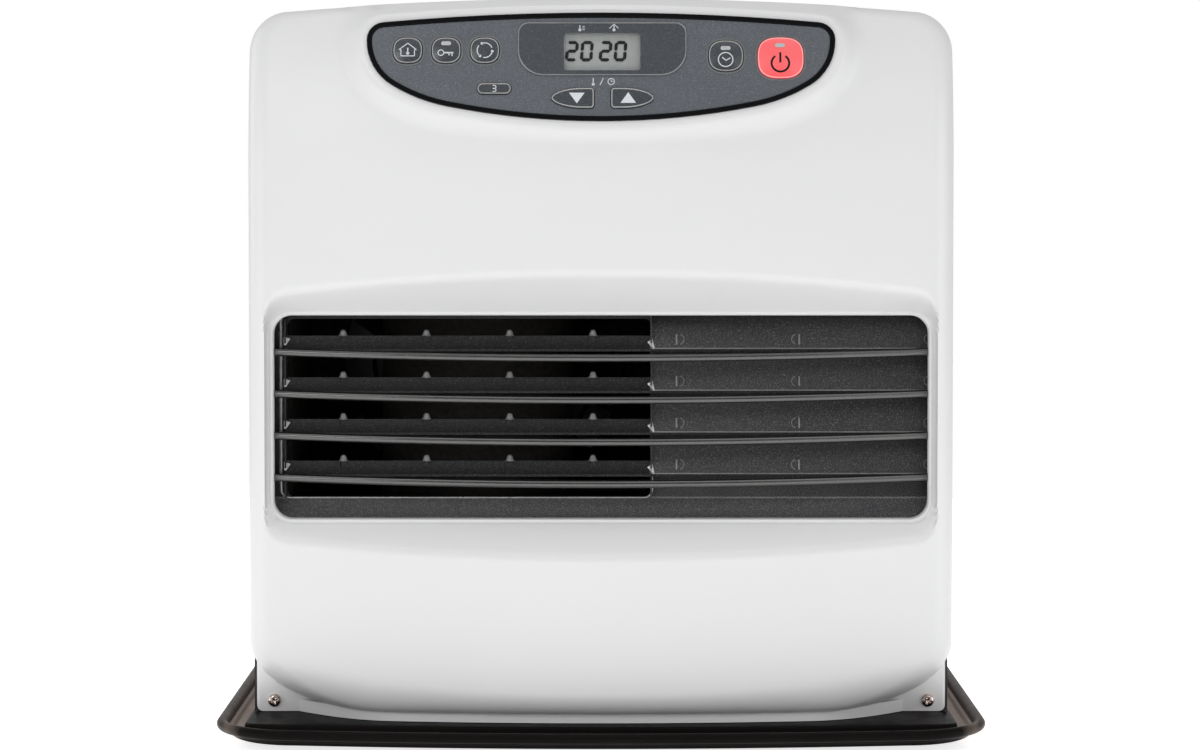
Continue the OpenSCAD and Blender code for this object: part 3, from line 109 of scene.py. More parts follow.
def finish(name, color, other=None, blotch=18, rough=(0.4, 0.5), roughScale=60, grain=0.0, grainScale=900,
           metallic=0.0, coat=0.0, coatRough=0.1, fleck=None, fleckScale=2600, specular=0.5):
    made, tree, shader = newMaterial(name)
    vector = nodeOf(tree, "TexCoord", {}, "Object")
    other = other or [c * 0.94 for c in color]
    tint = mixOf(tree, rangeOf(tree, noiseOf(tree, vector, blotch), 0, 1), (*color, 1), (*other, 1))
    if fleck:
        spots = rangeOf(tree, noiseOf(tree, vector, fleckScale, 1.0, 0.4), 0, 1, 0.55, 0.72)
        tint = mixOf(tree, spots, tint, (*fleck, 1))
    join(tree, shader, {"Base Color": tint, "Metallic": metallic, "Coat Weight": coat,
                        "Coat Roughness": coatRough, "Specular IOR Level": specular,
                        "Roughness": rangeOf(tree, noiseOf(tree, vector, roughScale), *rough)})
    if grain:
        height = noiseOf(tree, vector, grainScale, 2.0)
        bump = nodeOf(tree, "Bump", {"Strength": grain, "Distance": grainDepth, "Height": height})
        join(tree, shader, {"Normal": bump})
    return made


def clearFinish(name, color, alpha, rough):
    made, tree, shader = newMaterial(name)
    streaks = noiseOf(tree, nodeOf(tree, "TexCoord", {}, "Object"), 90)
    join(tree, shader, {"Base Color": (*color, 1), "Alpha": alpha, "Roughness": rangeOf(tree, streaks, *rough)})
    return made


whiteEnamel = {"color": (0.68, 0.68, 0.685), "other": (0.67, 0.671, 0.678), "blotch": 7,
               "rough": (0.34, 0.42), "roughScale": 30, "grain": 0.05, "grainScale": 1600, "coat": 0.12,
               "coatRough": 0.35}
finishes = {
    "white_paint": finish("whitePaint", **whiteEnamel),
    "casing_paint": finish("casingPaint", (0.66, 0.66, 0.665), (0.648, 0.651, 0.657), blotch=7,
        rough=(0.36, 0.45), roughScale=30, grain=0.06, grainScale=1500, coat=0.08, coatRough=0.35),
    "tray_black": finish("trayEnamel", (0.0034, 0.0032, 0.0033), (0.0052, 0.0045, 0.0042), blotch=25,
        rough=(0.34, 0.44), roughScale=80, grain=0.06, grainScale=1500, specular=0.045),
    "frame_black": finish("frameBlack", (0.02, 0.02, 0.02), rough=(0.5, 0.6), grain=0.1),
    "rubber": finish("footRubber", (0.025, 0.025, 0.025), rough=(0.75, 0.85), grain=0.2),
    "screw_steel": finish("screwNickel", (0.66, 0.56, 0.51), (0.55, 0.46, 0.42), blotch=300, rough=(0.12, 0.2),
        metallic=1.0, roughScale=400),
    "zinc_steel": finish("zincSteel", (0.60, 0.61, 0.62), (0.50, 0.51, 0.53), blotch=60, rough=(0.3, 0.45),
        metallic=0.9, grain=0.05),
    "charcoal_paint": finish("charcoalPaint", (0.036, 0.036, 0.037), (0.031, 0.031, 0.032), blotch=30,
        rough=(0.34, 0.44), grain=0.1, grainScale=1500, metallic=0.35, fleck=(0.1, 0.1, 0.103),
        fleckScale=1900),
    "rod_paint": finish("rodPaint", (0.11, 0.109, 0.108), (0.12, 0.118, 0.116), blotch=40, rough=(0.15, 0.21),
        metallic=0.9, grain=0.04, specular=0.7, fleck=(0.09, 0.09, 0.09), fleckScale=2200),
    "bezel_black": finish("bezelGloss", (0.002, 0.002, 0.0025), (0.003, 0.003, 0.004), rough=(0.14, 0.2),
        specular=0.12),
    "fascia_grey": finish("fasciaGrey", (0.1, 0.11, 0.126), (0.086, 0.095, 0.11), blotch=12, rough=(0.3, 0.38),
        metallic=0.25, fleck=(0.22, 0.23, 0.245), fleckScale=2400, coat=0.15, coatRough=0.18),
    "display_grey": finish("displaySurround", (0.048, 0.054, 0.062), (0.041, 0.047, 0.055), blotch=12,
        rough=(0.24, 0.3), metallic=0.1, fleck=(0.12, 0.13, 0.14), fleckScale=2400, coat=0.15),
    "clear": clearFinish("clearPane", (0.5, 0.53, 0.53), 0.015, (0.04, 0.08)),
    "liquid_crystal": finish("liquidCrystal", (0.33, 0.345, 0.335), (0.31, 0.325, 0.32), blotch=25,
        rough=(0.3, 0.36), grain=0.02),
    "key_grey": finish("keyGrey", (0.042, 0.048, 0.056), (0.034, 0.04, 0.048), blotch=30, rough=(0.24, 0.32),
        metallic=0.1, fleck=(0.11, 0.12, 0.13), fleckScale=2400, coat=0.1, coatRough=0.12),
    "key_red": finish("keyCoral", (0.95, 0.115, 0.125), (0.92, 0.13, 0.14), blotch=60, rough=(0.28, 0.36),
        coat=0.4, coatRough=0.15),
    "lamp": finish("lampLens", (0.4, 0.4, 0.41), (0.46, 0.46, 0.47), blotch=200, rough=(0.2, 0.28), coat=0.4),
    "board_green": finish("boardGreen", (0.03, 0.16, 0.07), rough=(0.35, 0.45), grain=0.1),
    "moulding_black": finish("mouldingBlack", (0.022, 0.022, 0.024), rough=(0.45, 0.55), grain=0.25,
        grainScale=700),
    "moulding_grey": finish("mouldingGrey", (0.6, 0.6, 0.605), rough=(0.45, 0.55), grain=0.2, grainScale=700),
    "cap_steel": finish("capSteel", (0.62, 0.5, 0.24), (0.55, 0.44, 0.2), rough=(0.28, 0.36), metallic=0.9),
    "nylon": finish("nylonMesh", (0.72, 0.72, 0.68), rough=(0.5, 0.6), grain=0.3),
    "pump_metal": finish("pumpMetal", (0.5, 0.5, 0.52), rough=(0.35, 0.45), metallic=0.9),
    "copper": finish("copperPipe", (0.62, 0.33, 0.18), (0.5, 0.26, 0.15), blotch=60, rough=(0.25, 0.35),
        metallic=1.0),
    "burner_iron": finish("burnerIron", (0.12, 0.11, 0.105), (0.16, 0.13, 0.11), blotch=60, rough=(0.6, 0.75),
        grain=0.4, metallic=0.5),
    "ceramic": finish("ceramic", (0.8, 0.78, 0.72), rough=(0.4, 0.5), grain=0.1),
    "heat_steel": finish("heatSteel", (0.09, 0.08, 0.075), (0.13, 0.105, 0.09), blotch=45, rough=(0.5, 0.68),
        metallic=0.6, grain=0.3),
    "motor_dark": finish("motorPaint", (0.06, 0.06, 0.065), rough=(0.4, 0.5), grain=0.1),
    "aluminium": finish("aluminium", (0.68, 0.69, 0.7), rough=(0.28, 0.38), metallic=0.95, grain=0.05),
    "guard_black": finish("guardBlack", (0.02, 0.02, 0.02), rough=(0.35, 0.45), grain=0.08),
}
traySheen = (1.0, 0.84, 0.78, 1)
finishes["tray_black"].node_tree.nodes["Principled BSDF"].inputs["Specular Tint"].default_value = traySheen
# Pale lines painted round the keys as highlights on their chamfered edges
coralHighlightLine = finish("coralHighlightLine", (0.92, 0.4, 0.4), (0.9, 0.5, 0.48), blotch=120, rough=(0.25, 0.32), coat=0.3)
keyHighlightLine = finish("keyLine", (0.5, 0.5, 0.51), (0.47, 0.44, 0.42), blotch=70, rough=(0.2, 0.3),
    metallic=0.5, roughScale=200)
# A pale copy of the charcoal paint, painted as highlights on the nubs and the tabs' straight edges
highlightPaint = finish("paintedHighlight", (0.24, 0.24, 0.245), (0.19, 0.19, 0.195), blotch=80, rough=(0.3, 0.38),
    metallic=0.3, fleck=(0.34, 0.34, 0.34), fleckScale=1900)
surroundLine = finish("surroundLine", (0.3, 0.305, 0.315), (0.22, 0.224, 0.232), blotch=90, rough=(0.2, 0.28),
    metallic=0.3)
# A pale copy of the charcoal paint for painted highlights along lit edges of the louvre panel
edgeHighlightPaint = finish("paintedEdgeHighlight", (0.2, 0.2, 0.205), (0.14, 0.14, 0.145), blotch=120, rough=(0.3, 0.4),
    metallic=0.3, fleck=(0.28, 0.28, 0.28), fleckScale=1900)
rimFinish = finish("keyRim", (0.2, 0.205, 0.215), (0.16, 0.165, 0.175), blotch=160, rough=(0.14, 0.22),
    metallic=0.4, coat=0.3)
# A bright copy of the charcoal paint, painted as highlights on the window's rolled edge and the blade gussets
brightHighlightPaint = finish("brightHighlightPaint", (0.55, 0.55, 0.56), (0.36, 0.36, 0.37), blotch=220, rough=(0.22, 0.32),
    metallic=0.5, grain=0.1)
digitDark = finish("digitDark", (0.003, 0.003, 0.0035), (0.004, 0.004, 0.0045), blotch=90, rough=(0.35, 0.42),
    specular=0.1)
markPale = finish("markPale", (0.62, 0.64, 0.66), (0.58, 0.6, 0.62), rough=(0.35, 0.42))
markDark = finish("markDark", (0.006, 0.0055, 0.006), (0.009, 0.008, 0.009), blotch=90, rough=(0.35, 0.42),
    specular=0.15)
# Near black for the parts inside the grille: soot on the chamber and flame rod, painted shade on the rest
sootAndShadeFinish = finish("sootAndShadeLiner", (0.007, 0.0065, 0.0063), (0.014, 0.012, 0.0105), blotch=260,
    rough=(0.8, 0.95), grain=0.9, grainScale=800, specular=0.1)
# The white paint again, with a paler colour painted in as light where its recess attribute says so
paintedLightWhite = finish("paintedLightWhite", **whiteEnamel)


def baseOf(made):
    shader = made.node_tree.nodes["Principled BSDF"]
    return made.node_tree, shader, shader.inputs["Base Color"].links[0].from_socket


def paintLightBy(made, attribute, color):  # paints a second colour in as light and reflection where the piece's own attribute says so
    tree, shader, tint = baseOf(made)
    share = nodeOf(tree, "Attribute", {}, "Fac", attribute_name=attribute)
    join(tree, shader, {"Base Color": mixOf(tree, share, tint, (*color, 1))})


# Painted light: a paler white on the ramps round the grille, the skirt and the flanges, which lie in shade
paintLightBy(paintedLightWhite, "recess", (0.9, 0.9, 0.902))
# Painted reflection: a brown sheen on the tray's side arms
paintLightBy(finishes["tray_black"], "flank", (0.3, 0.236, 0.205))

# The steps of the louvre panel, in millimetres, and how painted shade and light lie over them
stair = {"low": 157.9, "pitch": 25.35, "front": 78, "depth": 8, "rows": 4}
louvrePaintedShadeSizes = {"tread": (2.1, 0.6), "across": (0.85, 0.75), "acrossFrom": (0.03, 0.2), "blade": (0.3, 0.75),
               "bladeRise": 0.3, "bladeEnd": 0.0296, "sill": (2.6, 3.4), "sillFrom": (0.131, 0.143),
               "sillTop": 0.1434}


def louvrePaintedShade(made):  # painted shade and light: darker blades, steps that darken upwards under the step above, a paler lit sill
    s = louvrePaintedShadeSizes
    tree, shader, tint = baseOf(made)
    place = nodeOf(tree, "SeparateXYZ", {"Vector": nodeOf(tree, "TexCoord", {}, "Object")}).node.outputs

    def sums(kind, *values):
        return nodeOf(tree, "Math", dict(enumerate(values)), operation=kind)

    def either(test, yes, no):
        return sums("ADD", sums("MULTIPLY", test, yes), sums("MULTIPLY", sums("SUBTRACT", 1, test), no))

    rise = sums("FRACT", sums("DIVIDE", sums("SUBTRACT", place["Z"], stair["low"] * mm), stair["pitch"] * mm))
    treads = sums("MULTIPLY", rangeOf(tree, rise, *s["tread"], 0, 1),
                  rangeOf(tree, place["X"], *s["across"], *s["acrossFrom"]))
    blades = rangeOf(tree, rise, *s["blade"], 0, s["bladeRise"])
    upper = either(sums("LESS_THAN", place["X"], s["bladeEnd"]), blades, treads)
    sill = rangeOf(tree, place["Z"], *s["sill"], *s["sillFrom"])
    whole = either(sums("LESS_THAN", place["Z"], s["sillTop"]), sill, upper)
    shaded = nodeOf(tree, "VectorMath", {"Vector": tint, "Scale": whole}, operation="SCALE")
    join(tree, shader, {"Base Color": shaded})


# Charcoal paint with painted shade and light over the steps, blades and sill
louvreShadedPaint = finish("louvreShadedPaint", (0.036, 0.036, 0.037), (0.031, 0.031, 0.032), blotch=30, rough=(0.34, 0.44),
    grain=0.1, grainScale=1500, metallic=0.25, fleck=(0.115, 0.115, 0.118), fleckScale=1900, specular=0.12)
louvrePaintedShade(louvreShadedPaint)
slotOf = {row["node"]: row["material_slot"] for row in frame["record"]["subparts"]}
for node, slot in slotOf.items():
    for place in nodes[node].material_slots:
        place.material = finishes[slot]
    if not nodes[node].material_slots:
        nodes[node].data.materials.append(finishes[slot])
# The parts seen through the grille: soot on the chamber and flame rod, and painted shade on the duct, fan, bracket
# and guard
for node in ("air_duct", "combustion_chamber", "fan_blades", "fan_bracket", "fan_guard", "flame_rod"):
    nodes[node].data.materials[0] = sootAndShadeFinish
print("materials:", len(finishes))


# Mesh helpers
def pieceFrom(bm, name, material, slot, body="heater", smoothAngle=35):
    mesh = bpy.data.meshes.new(name)
    bm.normal_update()
    limit = math.radians(smoothAngle)
    for face in bm.faces:
        face.smooth = True
    for edge in bm.edges:
        edge.smooth = len(edge.link_faces) == 2 and edge.calc_face_angle(0) < limit
    bm.to_mesh(mesh)
    bm.free()
    mesh.materials.append(material)
    piece = newObject(name, mesh)
    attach(piece, body)
    return piece


softening = {"merge": 0.000004, "flat": math.radians(0.4), "angle": math.radians(38)}


def softened(node, name, width, body="heater", segments=2):
    bm = bmesh.new()
    bm.from_mesh(nodes[node].data)
    bmesh.ops.remove_doubles(bm, verts=bm.verts, dist=softening["merge"])
    bmesh.ops.dissolve_limit(bm, angle_limit=softening["flat"], verts=bm.verts, edges=bm.edges)
    piece = pieceFrom(bm, name, finishes[slotOf[node]], slotOf[node], body)
    edge = piece.modifiers.new("edges", "BEVEL")
    edge.width = width * mm
    edge.segments = segments
    edge.limit_method = "ANGLE"
    edge.angle_limit = softening["angle"]
    edge.use_clamp_overlap = True
    edge.harden_normals = True
    edge.miter_outer = "MITER_ARC"
    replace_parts(piece, node)


def gridShell(columns, rows, place):
    bm = bmesh.new()
    bmesh.ops.create_grid(bm, x_segments=columns, y_segments=rows, size=0.5)
    for vert in bm.verts:
        i = round((vert.co.x + 0.5) * columns)
        j = round((vert.co.y + 0.5) * rows)
        vert.co = place(i, j)
    return bm


def newVerts(made):
    return [v for v in made["geom"] if isinstance(v, bmesh.types.BMVert)]


def rimOf(bm):
    return [e for e in bm.edges if e.is_boundary]


def closeUp(bm, merge=0.00001):  # joins doubles, fills open ends and turns the faces out
    if merge:
        bmesh.ops.remove_doubles(bm, verts=bm.verts, dist=merge)
    bmesh.ops.holes_fill(bm, edges=rimOf(bm), sides=0)
    bmesh.ops.recalc_face_normals(bm, faces=bm.faces)


def thicken(bm, faces, reach):
    grown = bmesh.ops.extrude_face_region(bm, geom=faces)
    bmesh.ops.translate(bm, vec=reach, verts=newVerts(grown))
    bmesh.ops.recalc_face_normals(bm, faces=bm.faces)


def roundOff(bm, edges, width):
    bmesh.ops.bevel(bm, geom=edges, offset=width * mm, affect="EDGES", segments=2, profile=0.5, material=-1)


def faceFront(bm, probe):  # an open sheet shows its outer side to the front
    bmesh.ops.recalc_face_normals(bm, faces=bm.faces)
    if probe.normal.y > 0:
        bmesh.ops.reverse_faces(bm, faces=bm.faces)


def paintShare(piece, attribute, shareAt):  # how much of its second shade each point takes
    shares = piece.data.attributes.new(attribute, "FLOAT", "POINT")
    for vert, spot in zip(piece.data.vertices, shares.data):
        spot.value = shareAt(vert.co / mm)


def clamp(value, low, high):
    return min(max(value, low), high)


def ease(value):
    s = clamp(value, 0, 1)
    return s * s * (3 - 2 * s)


def softLow(a, b, k):  # the lower of two depths, with their crease rounded off
    h = clamp(0.5 + 0.5 * (b - a) / k, 0, 1)
    return b + (a - b) * h - k * h * (1 - h)


def steps(low, high, count, power=1.0):
    return [low + (high - low) * (k / count) ** power for k in range(1, count + 1)]


# Control panel frame: u across, v up the panel, w outward, all in millimetres
desk = {"y": 118.6, "z": 404, "tilt": math.radians(14)}
deskUp = Vector((0, math.sin(desk["tilt"]), math.cos(desk["tilt"])))
deskOut = Vector((0, -math.cos(desk["tilt"]), math.sin(desk["tilt"])))
deskMiddle = Vector((0, -desk["y"], desk["z"]))


def onDesk(u, v, w):
    return (Vector((u, -desk["y"], desk["z"])) + deskUp * v + deskOut * w) * mm


def arcPoints(cu, cv, radius, start, end, count, skip=0, drop=0):
    angles = [math.radians(start + (end - start) * k / count) for k in range(skip, count + 1 - drop)]
    return [(cu + radius * math.cos(a), cv + radius * math.sin(a)) for a in angles]


def quarterTurns(*corners):  # a rounded outline, from its low left corner on
    return [point for k, (u, v, radius, count) in enumerate(corners)
            for point in arcPoints(u, v, radius, (180 + 90 * k) % 360, (180 + 90 * k) % 360 + 90, count)]


smileSize = {"half": 138.6, "low": -34, "high": 32.5, "lowR": 459, "lowTurn": 11.4, "midR": 99, "endR": 32.2,
             "cornerR": 10.5, "highR": 1407}


def smile():
    s = smileSize
    lowV = s["low"] + s["lowR"]
    midU = (s["lowR"] - s["midR"]) * math.sin(math.radians(s["lowTurn"]))
    midV = lowV - (s["lowR"] - s["midR"]) * math.cos(math.radians(s["lowTurn"]))
    endU = s["half"] - s["endR"]
    midTurn = math.degrees(math.asin((endU - midU) / (s["midR"] - s["endR"])))
    endV = midV - (s["midR"] - s["endR"]) * math.cos(math.radians(midTurn))
    highV = s["high"] - s["highR"]
    cornerU = s["half"] - s["cornerR"]
    cornerV = highV + math.sqrt((s["highR"] - s["cornerR"]) ** 2 - cornerU ** 2)
    highTurn = math.degrees(math.atan2(cornerU, cornerV - highV))
    return (arcPoints(0, lowV, s["lowR"], 270 - s["lowTurn"], 270 + s["lowTurn"], 24)
            + arcPoints(midU, midV, s["midR"], 270 + s["lowTurn"], 270 + midTurn, 8, 1)
            + arcPoints(endU, endV, s["endR"], 270 + midTurn, 360, 12, 1)
            + arcPoints(cornerU, cornerV, s["cornerR"], 0, 90 - highTurn, 8, 1)
            + arcPoints(0, highV, s["highR"], 90 - highTurn, 90 + highTurn, 24, 1)
            + arcPoints(-cornerU, cornerV, s["cornerR"], 90 + highTurn, 180, 8, 1)
            + arcPoints(-endU, endV, s["endR"], 180, 270 - midTurn, 12, 1)
            + arcPoints(-midU, midV, s["midR"], 270 - midTurn, 270 - s["lowTurn"], 8, 1, 1))


smileLine = smile()


def smileDistance(u, v):  # distance outside the panel outline, negative inside
    best, inside = 1e9, False
    count = len(smileLine)
    for k in range(count):
        (au, av), (bu, bv) = smileLine[k], smileLine[(k + 1) % count]
        du, dv = bu - au, bv - av
        t = clamp(((u - au) * du + (v - av) * dv) / (du * du + dv * dv), 0, 1)
        best = min(best, math.hypot(u - au - t * du, v - av - t * dv))
        if (av > v) != (bv > v) and u < au + (v - av) / (bv - av) * du:
            inside = not inside
    return -best if inside else best


# Front panel: one sheet from the skirt up over the face to the seam with the top cover
front = {"half": 211.7, "depth": 126, "bow": 1050, "edge": 14, "topEdge": 8, "shoulder": 24, "crest": 7,
         "top": 444.5, "seam": 61.6, "leanFrom": 340, "leanR": 280, "flank": 59.5, "flankX": 68, "flankZ": 43,
         "flankR": 18, "foot": 12.7, "skirtTop": 18, "skirtIn": 11, "skirtTurn": 125, "flangeX": 184,
         "flangeY": 74, "hem": 32, "hemGrow": 14, "hemAt": 160, "calm": 20, "sheet": 1.0, "sideSteps": 5}
front["flat"] = front["top"] - front["crest"]
front["shoulderX"] = front["half"] - front["shoulder"]
front["shoulderZ"] = front["flat"] - front["shoulder"]
front["crestR"] = front["shoulderX"] ** 2 / (2 * front["crest"])
grille = {"z": 193.5, "wide": 396, "high": 124, "corner": 12, "plane": 90, "reach": 14, "mouthR": 14,
          "riseTop": 25, "riseLow": 18.3, "crease": 5.0, "mouthGrow": 9, "floorGrow": 3, "zone": (95, 310),
          "bend": 13, "turns": ((0.5, 0.35), (1.1, 0.3), (5.0, 0.0))}
noDish = 1000
pad = {"rim": 5, "slope": 10, "drop": 9.6, "crease": 3.4, "base": 0.4, "above": 345, "within": 170, "reachV": 62,
       "reachOut": 24, "inner": 3, "play": 0.05}


def halfAt(z):
    f = front
    if z < f["flank"]:
        return f["half"] - f["flankX"] + f["flankX"] * math.sqrt(1 - ((f["flank"] - z) / f["flankZ"]) ** 2)
    if z <= f["shoulderZ"]:
        return f["half"]
    if z <= f["flat"]:
        return f["shoulderX"] + math.sqrt(max(f["shoulder"] ** 2 - (z - f["shoulderZ"]) ** 2, 0))
    return math.sqrt(2 * f["crestR"] * max(f["top"] - z, 0))


def faceDepth(x, z):
    f = front
    lean = 0 if z < f["leanFrom"] else f["leanR"] - math.sqrt(f["leanR"] ** 2 - (z - f["leanFrom"]) ** 2)
    return f["depth"] - lean - (f["bow"] - math.sqrt(f["bow"] ** 2 - x * x))


def edgeDrop(x, z):  # how far the rounding at the outline takes the face back
    f = front
    radius, inward = f["edge"], halfAt(min(z, f["flat"])) - abs(x)
    if z < f["flank"]:
        radius += f["flankR"] * ((f["flank"] - z) / (f["flank"] - f["skirtTop"])) ** 1.2
    if z > f["shoulderZ"]:
        if abs(x) > f["shoulderX"]:
            inward = f["shoulder"] - math.hypot(abs(x) - f["shoulderX"], z - f["shoulderZ"])
            turn = math.atan2(z - f["shoulderZ"], abs(x) - f["shoulderX"]) / (math.pi / 2)
            radius += (f["topEdge"] - f["edge"]) * ease(turn)
        else:
            inward = f["top"] - x * x / (2 * f["crestR"]) - z
            radius = f["topEdge"]
    elif z > f["shoulderZ"] - f["calm"] and abs(x) < f["shoulderX"]:
        inward = max(inward, f["edge"] + f["topEdge"])
    inward = clamp(inward, 0, radius)
    return radius - math.sqrt(radius ** 2 - (radius - inward) ** 2)


def skirtLine(x):
    f = front
    mid = f["depth"] - f["skirtIn"] - x * x / (2 * f["bow"])
    turn = clamp((abs(x) - f["skirtTurn"]) / (f["flangeX"] - f["skirtTurn"]), 0, 1) ** 2.2
    return mid - (mid - f["flangeY"]) * turn


def tuck(x, z):
    f = front
    start = min(f["hem"] + f["hemGrow"] * (abs(x) / f["hemAt"]) ** 2.5, f["flank"] - 4)
    s = clamp((start - z) / (start - f["skirtTop"]), 0, 1)
    face = f["depth"] - x * x / (2 * f["bow"]) - f["flangeY"]
    return 1 - (1 - math.sqrt(1 - s * s)) * (1 - (skirtLine(x) - f["flangeY"]) / face)


def dishDepth(x, z):
    g = grille
    mouth = g["reach"] / (front["depth"] - g["plane"])
    highW, highH = g["wide"] + g["mouthGrow"], g["high"] + (g["riseTop"] + g["riseLow"]) * (1 + mouth)
    highZ = g["z"] + (g["riseTop"] - g["riseLow"]) * (1 + mouth) / 2

    def outside(t):
        w = (g["wide"] + g["floorGrow"]) * (1 - t) + highW * t
        h = (g["high"] + g["floorGrow"]) * (1 - t) + highH * t
        r = (g["corner"] + g["floorGrow"] / 2) * (1 - t) + g["mouthR"] * t
        mid = g["z"] * (1 - t) + highZ * t
        du, dv = abs(x) - w / 2 + r, abs(z - mid) - h / 2 + r
        return math.hypot(max(du, 0), max(dv, 0)) + min(max(du, dv), 0) - r

    if outside(0) <= 0:
        return g["plane"]
    if outside(1) >= 0:
        return noDish
    low, high = 0.0, 1.0
    for _ in range(18):
        mid = (low + high) / 2
        low, high = (mid, high) if outside(mid) > 0 else (low, mid)
    return g["plane"] + (front["depth"] + g["reach"] - g["plane"]) * low


def frontPoint(x, z):
    depth = faceDepth(x, z) - edgeDrop(x, z)
    if z < front["flank"] and depth > front["flangeY"]:
        depth = front["flangeY"] + (depth - front["flangeY"]) * tuck(x, z)
    if grille["zone"][0] < z < grille["zone"][1]:
        recess = dishDepth(x, z)
        if recess < noDish:
            depth = softLow(depth, recess, grille["crease"])
    point = Vector((x, -depth, z))
    if z > pad["above"] and abs(x) < pad["within"]:
        forward = 0
        for _ in range(2):
            away = point - deskMiddle - Vector((0, forward, 0))
            v, w = away.dot(deskUp), away.dot(deskOut) - forward * math.cos(desk["tilt"])
            out = smileDistance(x, v)
            if abs(v) > pad["reachV"] or out > pad["reachOut"]:
                break
            wanted = -pad["base"] - max(out - pad["rim"], 0) * pad["drop"] / pad["slope"]
            raised = -softLow(-wanted, -w, pad["crease"])
            if out < pad["rim"] - pad["inner"]:
                raised = max(wanted, min(raised, wanted + pad["play"]))
            forward = max(raised - w, 0) / math.cos(desk["tilt"])
        point.y -= forward
    return point


def frontColumns():
    f = front
    inner = f["half"] - f["edge"]
    opening = grille["wide"] / 2
    bend = opening - grille["corner"]
    side = steps(0, bend, 64)[:-1] + [bend] + steps(bend, inner, 9)
    side += [inner + f["edge"] * math.sin(math.radians(90 * k / 20)) for k in range(1, 21)]
    side = [x for x in side if abs(x - opening) > 0.25] + [opening]
    side.sort()
    return [-x for x in reversed(side)] + [0] + side


def frontRows():
    f, g = front, grille
    low, high = g["z"] - g["high"] / 2, g["z"] + g["high"] / 2
    near = [0.7, 1.7, 2.9, 4.2, 5.7, 7.4, 9.5, 12.0]
    rows = [f["foot"], f["skirtTop"] - 0.6, f["skirtTop"]] + steps(f["skirtTop"], f["flank"], 30, 1.5)
    rows += steps(f["flank"], 104, 13) + steps(104, low - 3, 22) + [low - 1.4, low] + [low + d for d in near]
    rows += steps(low + 12, high - 12, 32) + [high - d for d in reversed(near[:-1])] + [high, high + 1.4]
    rows += steps(high + 1.4, 288, 27) + steps(288, 352, 18) + steps(352, f["shoulderZ"], 34)
    rows += [f["shoulderZ"] + f["shoulder"] * math.sin(math.radians(90 * k / 16)) for k in range(1, 16)]
    rows += [f["flat"]]
    rows += [f["top"] - (f["shoulderX"] * (1 - k / 40)) ** 2 / (2 * f["crestR"]) for k in range(1, 41)]
    return rows


def cornerReach(x, z):  # how far past the start of the opening's rounded corners
    return (abs(x) - grille["wide"] / 2 + grille["corner"],
            abs(z - grille["z"]) - grille["high"] / 2 + grille["corner"])


def openingDistance(x, z):  # distance outside the grille opening, negative inside
    du, dv = cornerReach(x, z)
    return math.hypot(max(du, 0), max(dv, 0)) + min(max(du, dv), 0) - grille["corner"]


def roundedIn(x, z):  # bends the grid lines round the corners of the grille opening
    g = grille
    du, dv = cornerReach(x, z)
    reach = max(du, dv)
    if du <= 0 or dv <= 0 or reach >= g["corner"] + g["bend"]:
        return x, z
    bend = reach / math.hypot(du, dv)
    bend += (1 - bend) * ease((reach - g["corner"]) / g["bend"])
    return (math.copysign(g["wide"] / 2 - g["corner"] + du * bend, x),
            g["z"] + math.copysign(g["high"] / 2 - g["corner"] + dv * bend, z - g["z"]))


trim = {"face": -70, "panelFrom": 360, "panelBack": -6, "panelIn": -1.6, "lipX": 199, "lipZ": (130, 257)}
# Where painted light brightens the ramps down to the grille
recessPaintedLight = {"depth": 84, "keep": 0.85, "top": 45, "fade": 18, "flat": 0.75, "floor": 91.5, "floorFade": 1.5,
               "rise": 4}


def paintedLightShare(point):  # painted light: paler on the ramps down to the grille, and on the skirt, where they lie in shade
    s = recessPaintedLight
    x, depth, z = point.x, -point.y, point.z
    if grille["zone"][0] < z < grille["zone"][1] and depth > s["depth"]:
        share = 1 - s["keep"] * ease((z - grille["z"] - s["top"]) / s["fade"])
        flat = s["flat"] * ease((s["floor"] - depth) / s["floorFade"])
        return share * (1 - flat) * ease((faceDepth(x, z) - edgeDrop(x, z) - depth) / s["rise"])
    return 1 if z < front["skirtTop"] + 1 else 0


def sheetWall(piece):
    wall = piece.modifiers.new("wall", "SOLIDIFY")
    wall.thickness = front["sheet"] * mm
    wall.offset = -1
    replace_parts(piece, "front_panel")


def onLip(vert):
    low, high = trim["lipZ"]
    x, y, z = vert.co / mm
    return abs(x) < trim["lipX"] and low < z < high and y < trim["face"]


